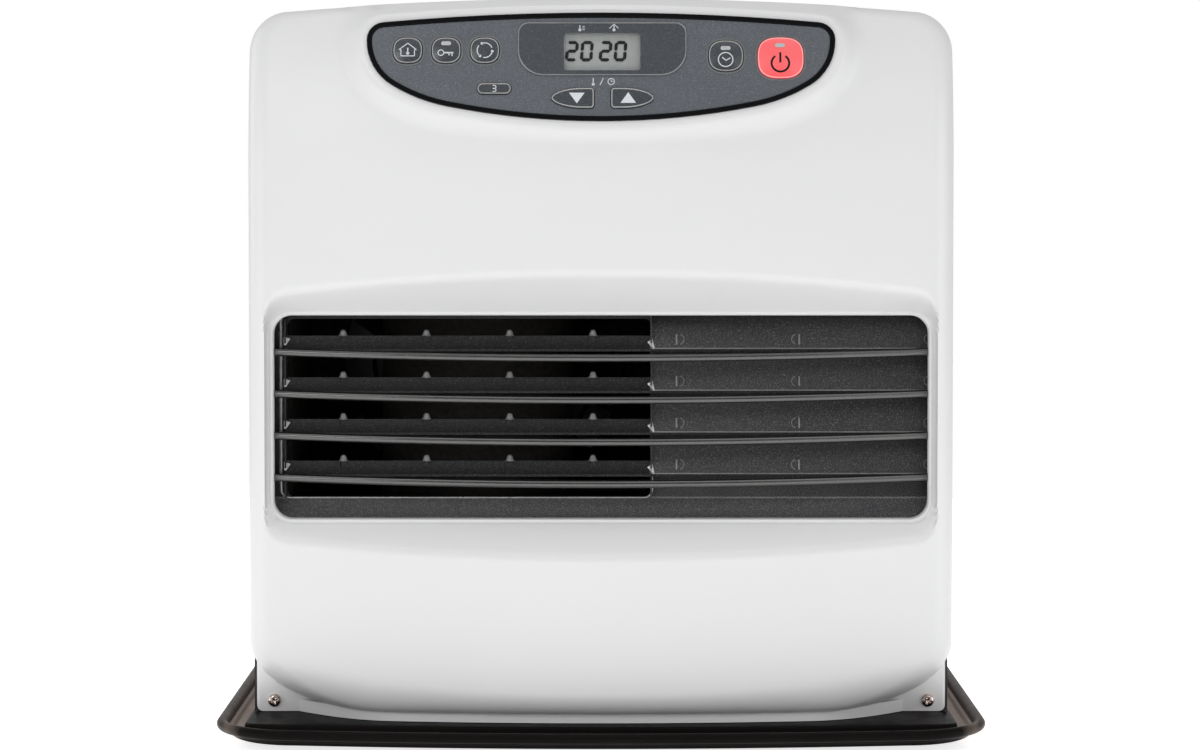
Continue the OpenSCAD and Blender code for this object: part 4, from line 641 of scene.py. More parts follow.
def buildFrontPanel():
    f, g = front, grille
    columns, rows = frontColumns(), frontRows()
    total = len(columns) + 2 * f["sideSteps"]

    def place(i, j):
        z = rows[j]
        shaped = max(z, f["skirtTop"])
        half = halfAt(shaped)
        if i < f["sideSteps"] or i >= total - f["sideSteps"]:
            side = -1 if i < f["sideSteps"] else 1
            t = (i if side < 0 else total - 1 - i) / f["sideSteps"]
            depth = -frontPoint(side * half, shaped).y
            return Vector((side * half, -(f["seam"] + (depth - f["seam"]) * t), z)) * mm
        x, bent = roundedIn(columns[i - f["sideSteps"]] * half / f["half"], shaped)
        point = frontPoint(x, bent)
        point.z += z - shaped
        return point * mm

    bm = gridShell(total - 1, len(rows) - 1, place)
    gone = []
    for face in bm.faces:
        middle = face.calc_center_median() / mm
        away = middle - deskMiddle
        if middle.y < trim["face"] and openingDistance(middle.x, middle.z) < 0:
            gone.append(face)
        elif (middle.z > trim["panelFrom"] and away.dot(deskOut) > trim["panelBack"]
              and smileDistance(middle.x, away.dot(deskUp)) < trim["panelIn"]):
            gone.append(face)
    bmesh.ops.delete(bm, geom=gone, context="FACES")
    bmesh.ops.remove_doubles(bm, verts=bm.verts, dist=0.00002)
    bendX, bendZ = g["wide"] / 2 - g["corner"], g["high"] / 2 - g["corner"]
    lipEdges = [e for e in rimOf(bm) if all(onLip(v) for v in e.verts)]
    for depth, inward in g["turns"]:  # the sheet turns in round the opening
        made = bmesh.ops.extrude_edge_only(bm, edges=lipEdges)
        fresh = newVerts(made)
        lipEdges = [e for e in made["geom"] if isinstance(e, bmesh.types.BMEdge) and e.is_boundary
                    and all(v in fresh for v in e.verts)]
        for vert in fresh:
            vert.co.y += depth * mm
            centre = Vector((clamp(vert.co.x, -bendX * mm, bendX * mm), vert.co.y,
                             clamp(vert.co.z, (g["z"] - bendZ) * mm, (g["z"] + bendZ) * mm)))
            away = vert.co - centre
            if away.length > 0:
                vert.co -= away.normalized() * inward * mm
    faceFront(bm, max(bm.faces, key=lambda face: -face.calc_center_median().y))
    piece = pieceFrom(bm, "frontSheet", paintedLightWhite, "white_paint", smoothAngle=50)
    # painted light on the ramps round the grille and on the skirt
    paintShare(piece, "recess", paintedLightShare)
    sheetWall(piece)
    print("front sheet:", len(piece.data.polygons), "faces")


sharpEdge = 0.9


def plateFrom(outline, name, material, slot, low, high, body="heater", bevel=0.0, placePoint=onDesk):
    bm = bmesh.new()
    face = bm.faces.new([bm.verts.new(placePoint(u, v, low)) for u, v in outline])
    thicken(bm, [face], placePoint(0, 0, high) - placePoint(0, 0, low))
    if bevel:
        roundOff(bm, [e for e in bm.edges if e.calc_face_angle(0) > sharpEdge], bevel)
    return pieceFrom(bm, name, material, slot, body)


flange = {"half": 209.6, "corner": 3.7, "top": 66, "cut": 4, "start": (142, 20), "notch": (150, 34), "bevel": 0.25}
skirtBand = {"columns": 60, "reach": 3, "out": 0.15, "back": 0.3, "backFrom": 26, "backOver": 24, "lift": 0.1,
             "high": 7.3, "fade": 0.75, "fadeFrom": 120, "fadeOver": 38}


def buildFlanges():
    f, s = front, flange
    corner = arcPoints(s["half"] - s["corner"], f["foot"] + s["corner"], s["corner"], 270, 360, 8)
    outline = [s["start"], (f["flangeX"] + 1, f["foot"]), *corner, (s["half"], s["top"]),
               (s["half"] - s["cut"], s["top"]), s["notch"]]
    for side, name in ((-1, "flangeLeft"), (1, "flangeRight")):
        plate = plateFrom([(side * u, v) for u, v in outline], name, paintedLightWhite, "white_paint",
                          f["flangeY"] - f["sheet"], f["flangeY"], bevel=s["bevel"],
                          placePoint=lambda u, v, w: Vector((u, -w, v)) * mm)
        # the flanges are painted paler all over, as light
        paintShare(plate, "recess", lambda point: 1)
        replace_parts(plate, "front_panel")


def buildSkirt():
    f, s = front, skirtBand
    bm = bmesh.new()
    line = []
    for k in range(-s["columns"], s["columns"] + 1):
        x = (f["flangeX"] + s["reach"]) * k / s["columns"]
        out = s["out"] - s["back"] * ease((abs(x) - f["flangeX"] + s["backFrom"]) / s["backOver"])
        line.append(bm.verts.new(Vector((x, -skirtLine(x) - out, f["foot"] + s["lift"])) * mm))
    edges = [bm.edges.new(pair) for pair in zip(line, line[1:])]
    grown = bmesh.ops.extrude_edge_only(bm, edges=edges)
    bmesh.ops.translate(bm, vec=Vector((0, 0, s["high"])) * mm, verts=newVerts(grown))
    bm.faces.ensure_lookup_table()
    faceFront(bm, bm.faces[0])
    skirt = pieceFrom(bm, "skirtStrip", paintedLightWhite, "white_paint")
    # painted light on the skirt strip, fading towards its ends
    paintShare(skirt, "recess", lambda point: 1 - s["fade"] * ease((abs(point.x) - s["fadeFrom"]) / s["fadeOver"]))
    sheetWall(skirt)


buildFrontPanel()
buildFlanges()
buildSkirt()
print("front panel built")

# Drip tray with its rolled rim: each ring of its profile is a step in or out, with a rise or drop
tray = {"half": 230.2, "front": 164, "corner": 50, "bow": 10.7, "rimR": 3.2, "rimH": 15, "rimTurn": (-60, 211, 15),
        "trough": 5.4, "wide": 13, "sheet": 1.2, "deck": 12.4, "deckHalf": 212.0, "deckFront": 126,
        "deckBack": 133, "deckR": 8, "deckBow": 10, "underDeck": ((0, 0.8), (0.8, 0)),
        "underRim": ((0, 0), (2, 0.3), (3.5, 0.9)), "underLip": ((8.6, 3.4), (7.4, 2.4)),
        "innerRim": ((5.4, 2.2), (4, 1.0), (2.4, 0.3), (0, 0)), "deckFoot": ((3.4, 0), (2.2, 0.35), (1.5, 1.2)),
        "deckEdge": ((1.0, 1.4), (0.7, 0.7), (0.2, 0.2), (-0.6, 0))}
# Where the tray's painted sheen lies along its side arms
flank = {"start": 1, "startFade": 3, "rim": 221, "rimFade": 4, "rimShare": 0.82, "front": 96, "frontFade": 56,
         "low": 4, "lowFade": 1.5}


def planRing(half, frontDepth, back, radius, bow):
    turns, halfSteps = 18, 20
    left, right = -half + radius, half - radius
    ring = arcPoints(left, -frontDepth + bow + radius, radius, 180, 270, turns)
    for k in range(1, 2 * halfSteps):
        s = -1 + k / halfSteps
        ring.append((s * right, -frontDepth + bow * s * s))
    ring += arcPoints(right, -frontDepth + bow + radius, radius, 270, 360, turns)
    ring += arcPoints(right, back - radius, radius, 0, 90, turns)
    ring += arcPoints(left, back - radius, radius, 90, 180, turns)
    return ring


def flankPaintedSheen(point):  # painted sheen: browner along the side arms, standing in for the reflection they show
    s = flank
    across, along = abs(point.x), -point.y
    return (ease((across - tray["deckHalf"] - s["start"]) / s["startFade"])
            * (1 - s["rimShare"] * ease((across - s["rim"]) / s["rimFade"]))
            * (1 - ease((along - s["front"]) / s["frontFade"])) * (1 - ease((s["low"] - point.z) / s["lowFade"])))


def buildTray():
    t = tray
    rimMid, under = t["rimH"] - t["rimR"], t["trough"] - t["sheet"]

    def rim(inset, z):
        front = t["front"] - inset
        return [(x, y, z) for x, y in planRing(t["half"] - inset, front, front, t["corner"] - inset, t["bow"])]

    def deck(grow, z):
        sizes = [t[size] + grow for size in ("deckHalf", "deckFront", "deckBack", "deckR")]
        return [(x, y, z) for x, y in planRing(*sizes, t["deckBow"])]

    rings = [deck(-1, t["deck"] - t["sheet"])]
    rings += [deck(grow, under + up) for grow, up in t["underDeck"]]
    rings += [rim(t["wide"] - less, under + up) for less, up in t["underRim"]]
    rings += [rim(inset, rimMid - down) for inset, down in t["underLip"]]
    rings += [rim(t["rimR"] - t["rimR"] * math.cos(a), rimMid + t["rimR"] * math.sin(a))
              for a in map(math.radians, range(*t["rimTurn"]))]
    rings += [rim(t["wide"] - less, t["trough"] + up) for less, up in t["innerRim"]]
    rings += [deck(grow, t["trough"] + up) for grow, up in t["deckFoot"]]
    rings += [deck(grow, t["deck"] - down) for grow, down in t["deckEdge"]]
    count = len(rings[0])
    bm = gridShell(count, len(rings) - 1, lambda i, j: Vector(rings[j][i % count]) * mm)
    closeUp(bm)
    piece = pieceFrom(bm, "dripTray", finishes["tray_black"], "tray_black", smoothAngle=60)
    # painted reflection along the side arms
    paintShare(piece, "flank", flankPaintedSheen)
    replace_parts(piece, "tray")


buildTray()
print("tray built")

# Carried-over pieces with their folded or moulded edges rounded
for node, name, width in (("top_cover", "topCover", 0.5), ("side_panel_left", "sidePanelLeft", 0.25),
                          ("side_panel_right", "sidePanelRight", 0.25), ("side_grips", "handRecesses", 0.5),
                          ("control_bezel", "panelBezel", 0.5), ("louvre_panel", "louvrePanel", 0.25),
                          ("guard_rods", "guardRods", 0.2), ("display_frame", "displaySurround", 0.25)):
    softened(node, name, width)
softened("tank_lid", "tankLid", 0.4, "lid")
# the louvre panel takes the paint with painted shade
bpy.data.objects["louvrePanel"].data.materials[0] = louvreShadedPaint
print("edges rounded")

# Front screws: domed heads with a cross recess
screw = {"x": 199.0, "z": 19.4, "face": 74, "radius": 4.0, "height": 2.4, "slot": 0.5, "reach": 2.1, "deep": 1.5,
         "gap": 0.05, "grid": 64, "flat": 1.04, "power": 2.6, "flare": 0.18, "wallSoft": 0.16, "endSoft": 0.3,
         "shallower": 0.35}


def screwHeight(x, z):
    s = screw
    r = math.hypot(x, z)
    dome = s["height"] * math.sqrt(max(1 - (r / (s["radius"] * s["flat"])) ** s["power"], 0.0))
    wide = s["slot"] + s["flare"] * max(0, 1 - r / s["reach"])
    if r < s["reach"] + s["endSoft"]:
        wall = ease((min(abs(x), abs(z)) - wide) / s["wallSoft"])
        end = ease((r - s["reach"]) / s["endSoft"])
        dome -= s["deep"] * (1 - s["shallower"] * r / s["reach"]) * (1 - max(wall, end))
    return max(dome, 0)


def buildScrew(name, side, angle):
    s = screw
    along, across = math.cos(math.radians(angle)), math.sin(math.radians(angle))
    bm = bmesh.new()
    bmesh.ops.create_grid(bm, x_segments=s["grid"], y_segments=s["grid"], size=1)
    for vert in bm.verts:
        u, v = vert.co.x, vert.co.y
        x = u * math.sqrt(max(1 - v * v / 2, 0)) * s["radius"]
        z = v * math.sqrt(max(1 - u * u / 2, 0)) * s["radius"]
        vert.co = Vector((side * s["x"] + x * along - z * across, -s["face"] - s["gap"] - screwHeight(x, z),
                          s["z"] + x * across + z * along)) * mm
    for vert in newVerts(bmesh.ops.extrude_edge_only(bm, edges=rimOf(bm))):
        vert.co.y = -s["face"] * mm
    closeUp(bm, merge=0)
    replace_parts(pieceFrom(bm, name, finishes["screw_steel"], "screw_steel", smoothAngle=50), "front_screws")


buildScrew("screwLeft", -1, 18)
buildScrew("screwRight", 1, -24)
print("screws built")

# Lanced tabs on the steps of the louvre panel, and the pressed nubs on its blades, with painted highlights on them
tabs = {"x": (47.4, 118.6, 199), "turn": (1, -1, -1), "rise": 5.8, "radius": 3.2, "line": 0.5, "arc": 78,
        "deep": -0.3, "high": 0.25, "barHalf": 3.0, "barWide": 0.5, "barIn": 1.6, "barHigh": 0.8}
lips = {"start": 31.2, "end": 200.5, "low": 0.1, "high": 0.85, "deep": -0.4, "out": 0.3}
windowSide = {"start": 30.2, "end": 30.8, "low": 1.4, "high": 25.1, "out": 0.25}
gussets = {"left": ((-192.6, 7.4), (-192.3, 2.2), (-191.0, 2.2), (-188.4, 6.2)),
           "right": ((28.0, 4.2), (31.9, -0.2), (32.5, 1.0), (31.2, 6.4))}
gussetSize = {"proud": 0.35, "slope": 0.25, "deep": 1.2, "bevel": 0.3}


def onStep(u, v, w):
    along = clamp((v - stair["low"]) % stair["pitch"], 0, stair["pitch"]) / stair["pitch"]
    return Vector((u, -stair["front"] + stair["depth"] * along - w, v)) * mm


def louvrePlate(outline, name, material, low, high, bevel=0.15):
    turned = sum(a[0] * b[1] - b[0] * a[1] for a, b in zip(outline, outline[1:] + outline[:1]))
    plateFrom(outline if turned > 0 else outline[::-1], name, material, "charcoal_paint", low, high, bevel=bevel,
              placePoint=onStep)


def rectangle(u0, v0, u1, v1):
    return [(u0, v0), (u1, v0), (u1, v1), (u0, v1)]


def buildGusset(name, corners, low):
    s = gussetSize
    bm = bmesh.new()
    face = bm.faces.new([bm.verts.new(Vector((u, -stair["front"] - s["proud"] + s["slope"] * v, low + v)) * mm)
                         for u, v in corners])
    thicken(bm, [face], Vector((0, s["deep"], 0)) * mm)
    roundOff(bm, list(bm.edges), s["bevel"])
    pieceFrom(bm, name, brightHighlightPaint, "charcoal_paint")


for row in range(stair["rows"]):
    low = stair["low"] + stair["pitch"] * row
    z = low + tabs["rise"]
    hoop = (arcPoints(0, 0, tabs["radius"], tabs["arc"], -tabs["arc"], 16)
            + arcPoints(0, 0, tabs["radius"] - tabs["line"], -tabs["arc"], tabs["arc"], 16))
    for column, (x, turn) in enumerate(zip(tabs["x"], tabs["turn"])):
        # the tab's rounded outline is painted pale, as a highlight
        louvrePlate([(x + turn * u, z + v) for u, v in hoop], f"lancedTab{column}{row}", edgeHighlightPaint, tabs["deep"],
                    tabs["high"], 0)
        # a pale bar painted as the highlight on the tab's straight edge
        edge = x - turn * tabs["barIn"]
        if column < 2:
            louvrePlate(rectangle(edge - tabs["barWide"], z - tabs["barHalf"], edge + tabs["barWide"],
                                  z + tabs["barHalf"]),
                        f"lancedEdgeHighlight{column}{row}", highlightPaint, tabs["deep"], tabs["barHigh"])
    # Painted highlights along each step's lower edge and the window's side
    for name, strip, bevel in (("stepLip", lips, 0.15), ("windowSide", windowSide, 0.1)):
        louvrePlate(rectangle(strip["start"], low + strip["low"], strip["end"], low + strip["high"]),
                    f"{name}{row}", edgeHighlightPaint, lips["deep"], strip["out"], bevel)
    # Bright gussets at the blade ends, painted as highlights
    for side, corners in gussets.items():
        buildGusset(f"bladeGusset{side.title()}{row}", corners, low)

# The rolled edge of the window, thick on the left and fine along the sill, painted bright as a highlight
roll = {"x": -194.7, "high": 257, "sill": 142.9, "corner": 5.4, "endX": 26.2, "endR": 5, "endRise": 14,
        "plane": -70.3, "sides": 12, "thick": 1.45, "taper": 0.9, "fine": 0.5, "tip": 0.4}


def buildWindowEdge():
    r = roll
    cornerX, down, bends, across = r["x"] + r["corner"], 12, 9, 10
    path = [(r["x"], r["high"] - (r["high"] - r["sill"] - r["corner"]) * k / down, r["thick"])
            for k in range(down + 1)]
    bend = arcPoints(cornerX, r["sill"] + r["corner"], r["corner"], 180, 270, bends)
    path += [(u, v, r["thick"] - r["taper"] * k / bends) for k, (u, v) in enumerate(bend)][1:]
    path += [(cornerX + (r["endX"] - r["x"] - r["corner"]) * k / across, r["sill"], r["fine"])
             for k in range(1, across + 1)]
    path += [(u, v, r["fine"]) for u, v in arcPoints(r["endX"], r["sill"] + r["endR"], r["endR"], 270, 360, 8, 1)]
    path += [(r["endX"] + r["endR"], r["sill"] + r["endRise"], r["tip"])]

    def place(i, j):
        u, v, radius = path[j]
        back, ahead = path[max(j - 1, 0)], path[min(j + 1, len(path) - 1)]
        along = Vector((ahead[0] - back[0], 0, ahead[1] - back[1])).normalized()
        turn = 2 * math.pi * i / r["sides"]
        return (Vector((u, r["plane"], v)) + along.cross(Vector((0, 1, 0))) * radius * math.cos(turn)
                + Vector((0, radius * math.sin(turn), 0))) * mm

    bm = gridShell(r["sides"], len(path) - 1, place)
    closeUp(bm)
    pieceFrom(bm, "windowEdge", brightHighlightPaint, "charcoal_paint", smoothAngle=60)


buildWindowEdge()

nubs = {"first": -156.4, "pitch": 50.5, "count": 4, "y": -75.7, "rise": 7.9, "turns": 20,
        "profile": ((3.0, 0), (2.6, 0.35), (2.2, 1.0), (1.9, 1.9), (1.65, 2.7), (1.3, 3.3), (0.7, 3.7), (0, 3.8))}


def buildNubs():
    bm = bmesh.new()
    for row in range(stair["rows"]):
        foot = stair["low"] + stair["pitch"] * row + nubs["rise"]
        for k in range(nubs["count"]):
            middle = Vector((nubs["first"] + nubs["pitch"] * k, nubs["y"], 0)) * mm
            line = [bm.verts.new(middle + Vector((r, 0, foot + v)) * mm) for r, v in nubs["profile"]]
            edges = [bm.edges.new(pair) for pair in zip(line, line[1:])]
            bmesh.ops.spin(bm, geom=line + edges, cent=middle, axis=(0, 0, 1), angle=2 * math.pi,
                           steps=nubs["turns"], use_merge=True)
    closeUp(bm)
    # the nubs are painted pale, as highlights
    pieceFrom(bm, "bladeNubs", highlightPaint, "charcoal_paint", smoothAngle=50)


buildNubs()
print("louvre details built")

# Control panel face, keys and marks
deskFaces = {"fascia": 0.2, "key": 1.2, "pane": 0.92, "crystal": -2.5}


def inkOn(face, material, slot, rise, deep=0.1):  # material, slot, low and high of a thin layer
    return material, slot, deskFaces[face] - deep, deskFaces[face] + rise


def roundBox(u, v, wide, high, radius):
    a, b = wide / 2 - radius, high / 2 - radius
    return quarterTurns((u - a, v - b, radius, 8), (u + a, v - b, radius, 8), (u + a, v + b, radius, 8),
                        (u - a, v + b, radius, 8))


def squircle(u, v, wide, high, power, grow=0.0, count=72):
    points = []
    for k in range(count):
        a = 2 * math.pi * k / count
        c, d = math.cos(a), math.sin(a)
        points.append((u + (wide / 2 + grow) * math.copysign(abs(c) ** (2 / power), c),
                       v + (high / 2 + grow) * math.copysign(abs(d) ** (2 / power), d)))
    return points


def ringBand(outlines, name, material, slot, low, high, body="heater"):
    bm = bmesh.new()
    loops = []
    for points in outlines:
        verts = [bm.verts.new(onDesk(u, v, low)) for u, v in points]
        loops += [bm.edges.new((verts[k], verts[(k + 1) % len(verts)])) for k in range(len(verts))]
    bmesh.ops.bridge_loops(bm, edges=loops)
    thicken(bm, list(bm.faces), onDesk(0, 0, high) - onDesk(0, 0, low))
    pieceFrom(bm, name, material, slot, body)


keySize = {"power": 2.6, "deep": -3.2, "gap": 0.05, "bevel": 0.5, "soft": 0.45, "line": (-0.45, -0.95),
           "rim": (1.25, 0.25), "rimRise": 0.35, "softLine": (0.25, 0.8), "lineRise": 0.12, "markRise": 0.06}
keys = {
    "key_save": {"box": (-114.2, 9.1, 17.5, 16.2)},
    "key_lock": {"box": (-91.5, 9.1, 17.5, 16.2)},
    "key_vent": {"box": (-68.7, 9.1, 17.5, 16.2)},
    "key_timed_off": {"box": (-63, -14.3, 20, 6.7), "corner": 3.3},
    "key_timer": {"box": (73.8, 5.7, 20.8, 19.3)},
    "key_power": {"box": (106.1, 4.5, 27.5, 25.4), "slot": "key_red", "power": 2.8},
}
arrow = {"mid": 0.9, "u": 17.6, "v": -20, "wide": 25.3, "high": 12.4, "corner": 2, "taper": 18, "bulge": 1.15,
         "line": (-0.25, -0.9), "markIn": 2.45, "markHalf": 4.6, "markLow": 3.1, "markHigh": 3.4}
# The pale key lines are painted highlights on the keys' edges
greyLine = inkOn("key", keyHighlightLine, "key_grey", keySize["lineRise"])
redLine = inkOn("key", coralHighlightLine, "key_red", keySize["lineRise"])
keyInk = inkOn("key", markPale, "key_grey", keySize["markRise"])
powerInk = inkOn("key", markDark, "key_red", keySize["markRise"])


def buildKey(name, box, slot="key_grey", power=keySize["power"], corner=0):
    s, short = keySize, name.replace("_", "")
    line = redLine if slot == "key_red" else greyLine
    if corner:
        softened(name, short + "Cap", s["soft"], name, segments=3)
        u, v, wide, high = box
        outlines = [roundBox(u, v, wide - 2 * less, high - 2 * less, corner - less) for less in s["softLine"]]
        ringBand(outlines, short + "Line", *line, name)
        return
    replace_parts(plateFrom(squircle(*box, power, -s["gap"]), short + "Cap", finishes[slot], slot, s["deep"],
                          deskFaces["key"], name, s["bevel"]), name)
    ringBand([squircle(*box, power, grow) for grow in s["line"]], short + "Line", *line, name)
    ringBand([squircle(*box, power, grow) for grow in s["rim"]], short + "Rim",
             *inkOn("fascia", rimFinish, slot, s["rimRise"]))


def arrowOutline(side, grow):
    w, h, r = arrow["wide"] / 2 + grow, arrow["high"] / 2 + grow, arrow["corner"] + grow
    points = arcPoints(r - w, r - h, r, 180, 270, 6)
    for k in range(-18, 19):
        a = math.radians(k * 5)
        points.append((w - arrow["taper"] * (1 - math.cos(a)),
                       h * math.copysign(abs(math.sin(a)) ** arrow["bulge"], a)))
    points += arcPoints(r - w, h - r, r, 90, 180, 6)
    points = [(arrow["mid"] + side * (arrow["u"] + u), arrow["v"] + v) for u, v in points]
    return points if side > 0 else points[::-1]


def buildArrowKey(name, side):
    short = name.replace("_", "")
    softened(name, short + "Cap", keySize["soft"], name, segments=3)
    ringBand([arrowOutline(side, grow) for grow in arrow["line"]], short + "Line", *greyLine, name)
    middle, foot = arrow["mid"] + side * (arrow["u"] - arrow["markIn"]), arrow["v"] - side * arrow["markLow"]
    triangle = [(middle - arrow["markHalf"], foot), (middle + arrow["markHalf"], foot),
                (middle, arrow["v"] + side * arrow["markHigh"])]
    plateFrom(triangle[::side], short + "Mark", *keyInk, name)


for name, key in keys.items():
    buildKey(name, **key)
buildArrowKey("key_down", -1)
buildArrowKey("key_up", 1)


# Marks: a ring is (u, v, radius, line, from, to, sides), a bar is (u, v, u, v, line)
def arcBand(u, v, radius, wide, start, end, count):
    return (arcPoints(u, v, radius + wide / 2, start, end, count)
            + arcPoints(u, v, radius - wide / 2, end, start, count))


def bar(u0, v0, u1, v1, wide):
    du, dv = u1 - u0, v1 - v0
    length = math.hypot(du, dv)
    nu, nv = -dv / length * wide / 2, du / length * wide / 2
    return [(u0 + nu, v0 + nv), (u0 - nu, v0 - nv), (u1 - nu, v1 - nv), (u1 + nu, v1 + nv)]


def drawMarks(marks, ink, body="heater"):
    for name, sizes in marks.items():
        plateFrom(bar(*sizes) if len(sizes) == 5 else arcBand(*sizes), name, *ink, body)


glass = {"bulb": (0.45, 0.9, 0, 360, 14), "bulbRise": 0.6, "stemRise": 0.8, "line": 0.55}


def thermometer(name, u, v, high):
    return {name + "Bulb": (u, v - high / 2 + glass["bulbRise"], *glass["bulb"]),
            name + "Stem": (u, v - high / 2 + glass["stemRise"], u, v + high / 2, glass["line"])}


powerMarks = {"powerRing": (105.9, 1.2, 5.2, 1.2, 125, 415, 36), "powerBar": (105.9, 1.6, 105.9, 7.8, 1.2)}
timerMarks = {"clockRing": (73.6, 3.4, 4.3, 0.6, 0, 360, 40), "clockHandShort": (71.6, 4.8, 73.8, 2.8, 0.6),
              "clockHandLong": (73.6, 2.8, 76.4, 4.4, 0.6)}
vent = {"u": -68.7, "v": 9.1, "radius": 4.5, "line": 0.6, "start": 20, "end": 112, "pitch": 120,
        "dot": (0.45, 0.8, 0, 360, 10)}
ventMarks = {}
for k in range(3):
    start, end = vent["start"] + vent["pitch"] * k, vent["end"] + vent["pitch"] * k
    tipU = vent["u"] + vent["radius"] * math.cos(math.radians(end))
    tipV = vent["v"] + vent["radius"] * math.sin(math.radians(end))
    ventMarks[f"ventArc{k}"] = (vent["u"], vent["v"], vent["radius"], vent["line"], start, end, 14)
    ventMarks[f"ventDot{k}"] = (tipU, tipV, *vent["dot"])
lockMarks = {"lockBow": (-94.6, 7.6, 1.7, 0.55, 0, 360, 20), "lockShaft": (-92.8, 7.6, -87.2, 7.6, 0.9),
             "lockToothOuter": (-88.0, 7.6, -88.0, 5.6, 0.7), "lockToothInner": (-89.8, 7.6, -89.8, 6.0, 0.7)}
house = [(-118.2, 5.6), (-110.2, 5.6), (-110.2, 9.4), (-109.0, 9.4), (-114.2, 13.4), (-119.4, 9.4), (-118.2, 9.4)]
saveMarks = {f"saveHouse{k}": (*a, *b, 0.55) for k, (a, b) in enumerate(zip(house, house[1:] + house[:1]))}
saveMarks["saveStem"] = (-114.2, 7.4, -114.2, 10.6, 0.7)
saveMarks["saveBulb"] = (-114.2, 7.3, 0.5, 0.9, 0, 360, 14)
drawMarks(powerMarks, powerInk, "key_power")
for body, marks in (("key_timer", timerMarks), ("key_vent", ventMarks), ("key_lock", lockMarks),
                    ("key_save", saveMarks)):
    drawMarks(marks, keyInk, body)

lamps = {"size": (5.9, 2.4, 1.1), "rise": 0.3, "bevel": 0.1,
         "at": ((-91.5, 13.3, "key_lock"), (73.6, 10.4, "key_timer"), (105.8, 12.1, "key_power"))}
for k, (u, v, body) in enumerate(lamps["at"]):
    plateFrom(roundBox(u, v, *lamps["size"]), f"lampLens{k}", *inkOn("key", finishes["lamp"], "lamp", lamps["rise"]),
              body, lamps["bevel"])

# Seven-segment figures
segmentSpots = {"a": (0, 1, 0), "b": (0.5, 0.5, 1), "c": (0.5, -0.5, 1), "d": (0, -1, 0), "e": (-0.5, -0.5, 1),
                "f": (-0.5, 0.5, 1), "g": (0, 0, 0)}
figures = {"0": "abcdef", "2": "abged", "3": "abgcd"}
digits = {"v": 9.5, "size": (7.4, 12.5, 1.85), "slant": 0.08, "rise": 0.4, "deep": 0.05,
          "offSize": (2.6, 4.2, 0.55), "at": (("2", -17.2), ("0", -8.4), ("2", 2.7), ("0", 11.5))}
segmentGap = 0.25


def figure(sign, u, v, size, slant, name, ink, body="heater"):
    wide, high, thick = size
    for k, segment in enumerate(figures[sign]):
        su, sv, upright = segmentSpots[segment]
        cu, cv = su * (wide - thick), sv * (high - thick) / 2
        length = (high - thick) / 2 - segmentGap if upright else wide - thick - segmentGap
        h, t = length / 2, thick / 2
        shape = [(-h, 0), (-h + t, -t), (h - t, -t), (h, 0), (h - t, t), (-h + t, t)]
        if upright:
            shape = [(-b, a) for a, b in shape]
        outline = [(u + cu + a + slant * (cv + b), v + cv + b) for a, b in shape]
        plateFrom(outline, f"{name}{k}", *ink, body)


digitInk = inkOn("crystal", digitDark, "liquid_crystal", digits["rise"], digits["deep"])
for k, (sign, u) in enumerate(digits["at"]):
    figure(sign, u, digits["v"], digits["size"], digits["slant"], f"digit{k}Segment", digitInk)
figure("3", *keys["key_timed_off"]["box"][:2], digits["offSize"], 0, "offFigure", keyInk, "key_timed_off")

# The display's bright rim, and the small pictograms on the fascia
surround = {"u": 0.7, "v": 10.1, "wide": 99.9, "high": 32.7, "low": 15, "top": 6, "line": (-0.15, -0.75),
            "rise": 0.08}


def surroundOutline(grow):
    d = surround
    w, h, low, top = d["wide"] / 2 + grow, d["high"] / 2 + grow, d["low"], d["top"]
    return [(d["u"] + u, d["v"] + v) for u, v in quarterTurns(
        (-w + low, -h + low, low, 10), (w - low, -h + low, low, 10), (w - top, h - top, top, 8),
        (-w + top, h - top, top, 8))]


paneMarks = {**thermometer("setReading", -12.5, 22.8, 3.4),
             **{f"setTick{k}": (-11.0, 21.8 + k, -9.6, 21.8 + k, 0.3) for k in range(3)},
             **thermometer("roomReading", 7.7, 22.8, 3.4),
             "roomRoofLeft": (5.0, 22.6, 7.7, 25.2, 0.4), "roomRoofRight": (7.7, 25.2, 10.4, 22.6, 0.4)}
fasciaMarks = {**thermometer("adjustHeat", -4.6, -9.8, 4.4), "adjustSlash": (-0.6, -12.0, 1.4, -7.6, 0.45),
               "adjustClock": (6.0, -9.8, 1.9, 0.45, 0, 360, 24), "adjustHandUp": (6.0, -9.8, 6.0, -8.6, 0.4),
               "adjustHandSide": (6.0, -9.8, 7.1, -9.8, 0.4)}
fasciaRise = 0.05
ringBand([surroundOutline(grow) for grow in surround["line"]], "displayRim",
         *inkOn("pane", surroundLine, "display_grey", surround["rise"]))
drawMarks(paneMarks, inkOn("pane", markPale, "fascia_grey", fasciaRise))
drawMarks(fasciaMarks, inkOn("fascia", markPale, "fascia_grey", fasciaRise))
print("control panel dressed")


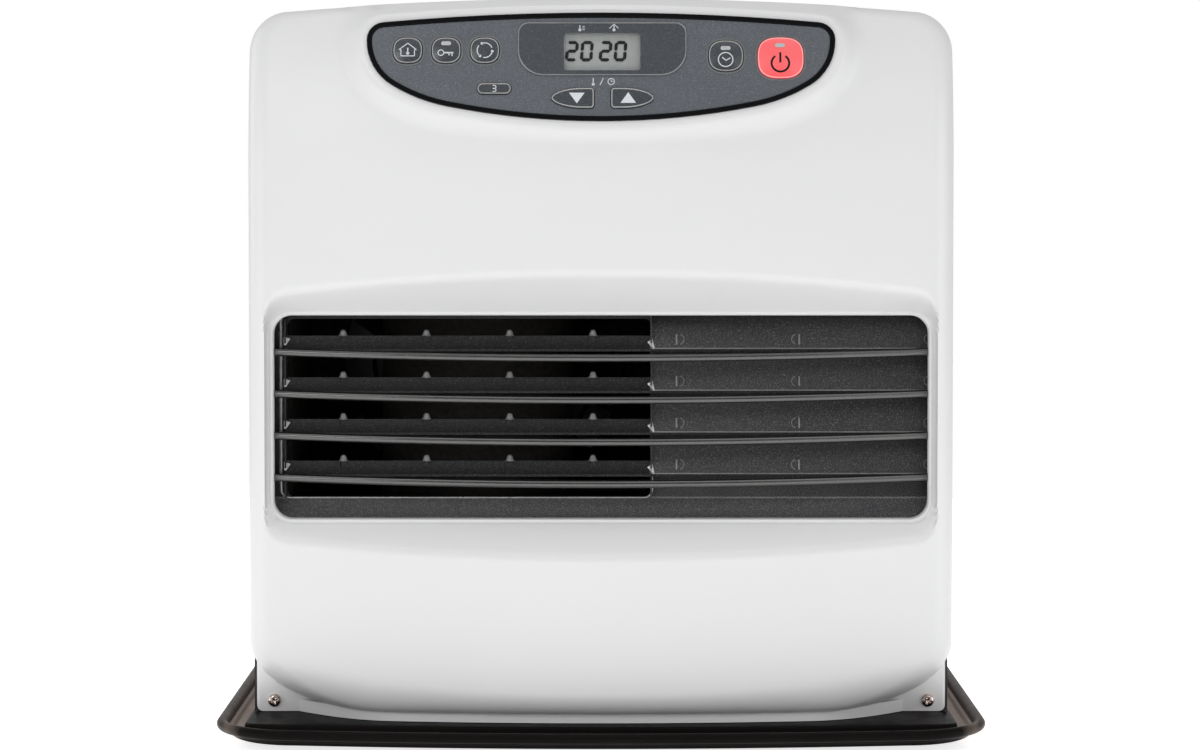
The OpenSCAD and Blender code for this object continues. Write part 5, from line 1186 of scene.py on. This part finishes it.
# Studio
studio = {"floor": 1.3, "paper": (0.93, 0.93, 0.93), "glow": 0.75, "card": 0.7, "cardAt": (0, -2.7, 0.55),
          "ambient": 0.48, "white": (1.0, 1.0, 1.0, 1)}
lights = {  # place, aim, size and power
    "keyLight": ((-0.85, -1.6, 0.95), (0, 0, 0.2), (0.8, 0.45), 4.2),
    "fillLight": ((0.85, -1.6, 0.95), (0, 0, 0.2), (0.8, 0.45), 1.35),
    "sideRight": ((1.8, -0.75, 0.4), (0, -0.1, 0.2), (0.8, 0.9), 5),
    "sideLeft": ((-1.8, -0.75, 0.4), (0, -0.1, 0.2), (0.8, 0.9), 3.4),
    "topLight": ((-0.1, -0.65, 2.2), (0, -0.1, 0), (2.4, 1.6), 14),
    "lowLight": ((0, -1.72, 0.2), (0, 0, 0.06), (1.6, 0.14), 2.3),
    "leftLight": ((-1.2, 0.35, 0.6), (-0.2, 0, 0.1), (0.4, 0.8), 1.5),
    "backLight": ((0, 2.5, 0.6), (0, 0, 0.1), (3.0, 1.5), 4),
}


def stageSheet(bm, name, material, place=(0, 0, 0), turn=0):
    mesh = bpy.data.meshes.new(name)
    bm.to_mesh(mesh)
    bm.free()
    mesh.materials.append(material)
    sheet = newObject(name, mesh)
    sheet.location = place
    sheet.rotation_euler = (math.radians(turn), 0, 0)


def buildStudio():
    s = studio
    bm = bmesh.new()
    bmesh.ops.create_circle(bm, cap_ends=True, cap_tris=False, segments=128, radius=s["floor"])
    paper = finish("floorPaper", s["paper"], (0.92, 0.92, 0.92), blotch=2, rough=(0.7, 0.8))
    join(paper.node_tree, baseOf(paper)[1], {"Emission Color": s["white"], "Emission Strength": s["glow"]})
    stageSheet(bm, "studioFloor", paper)
    bm = bmesh.new()
    bmesh.ops.create_grid(bm, x_segments=1, y_segments=1, size=s["card"])
    felt = finish("cardFelt", (0.01, 0.01, 0.01), rough=(0.9, 1.0), specular=0.0)
    stageSheet(bm, "studioCard", felt, s["cardAt"], 90)  # a dark card behind the camera
    for name, (place, aim, size, power) in lights.items():
        data = bpy.data.lights.new(name, "AREA")
        data.shape = "RECTANGLE"
        data.size, data.size_y = size
        data.energy = power
        lamp = newObject(name, data)
        lamp.location = place
        lamp.rotation_euler = (Vector(aim) - Vector(place)).to_track_quat("-Z", "Y").to_euler()
    world = bpy.data.worlds.new("studio")
    bpy.context.scene.world = world
    world.use_nodes = True
    tree = world.node_tree
    ambient = tree.nodes["Background"]
    join(tree, ambient, {"Color": s["white"], "Strength": s["ambient"]})
    backdrop = nodeOf(tree, "Background", {"Color": s["white"], "Strength": 1.0})
    seen = nodeOf(tree, "LightPath", {}, "Is Camera Ray")
    mixed = nodeOf(tree, "MixShader", {"Fac": seen, 1: ambient.outputs["Background"], 2: backdrop})
    join(tree, tree.nodes["World Output"], {"Surface": mixed})


buildStudio()
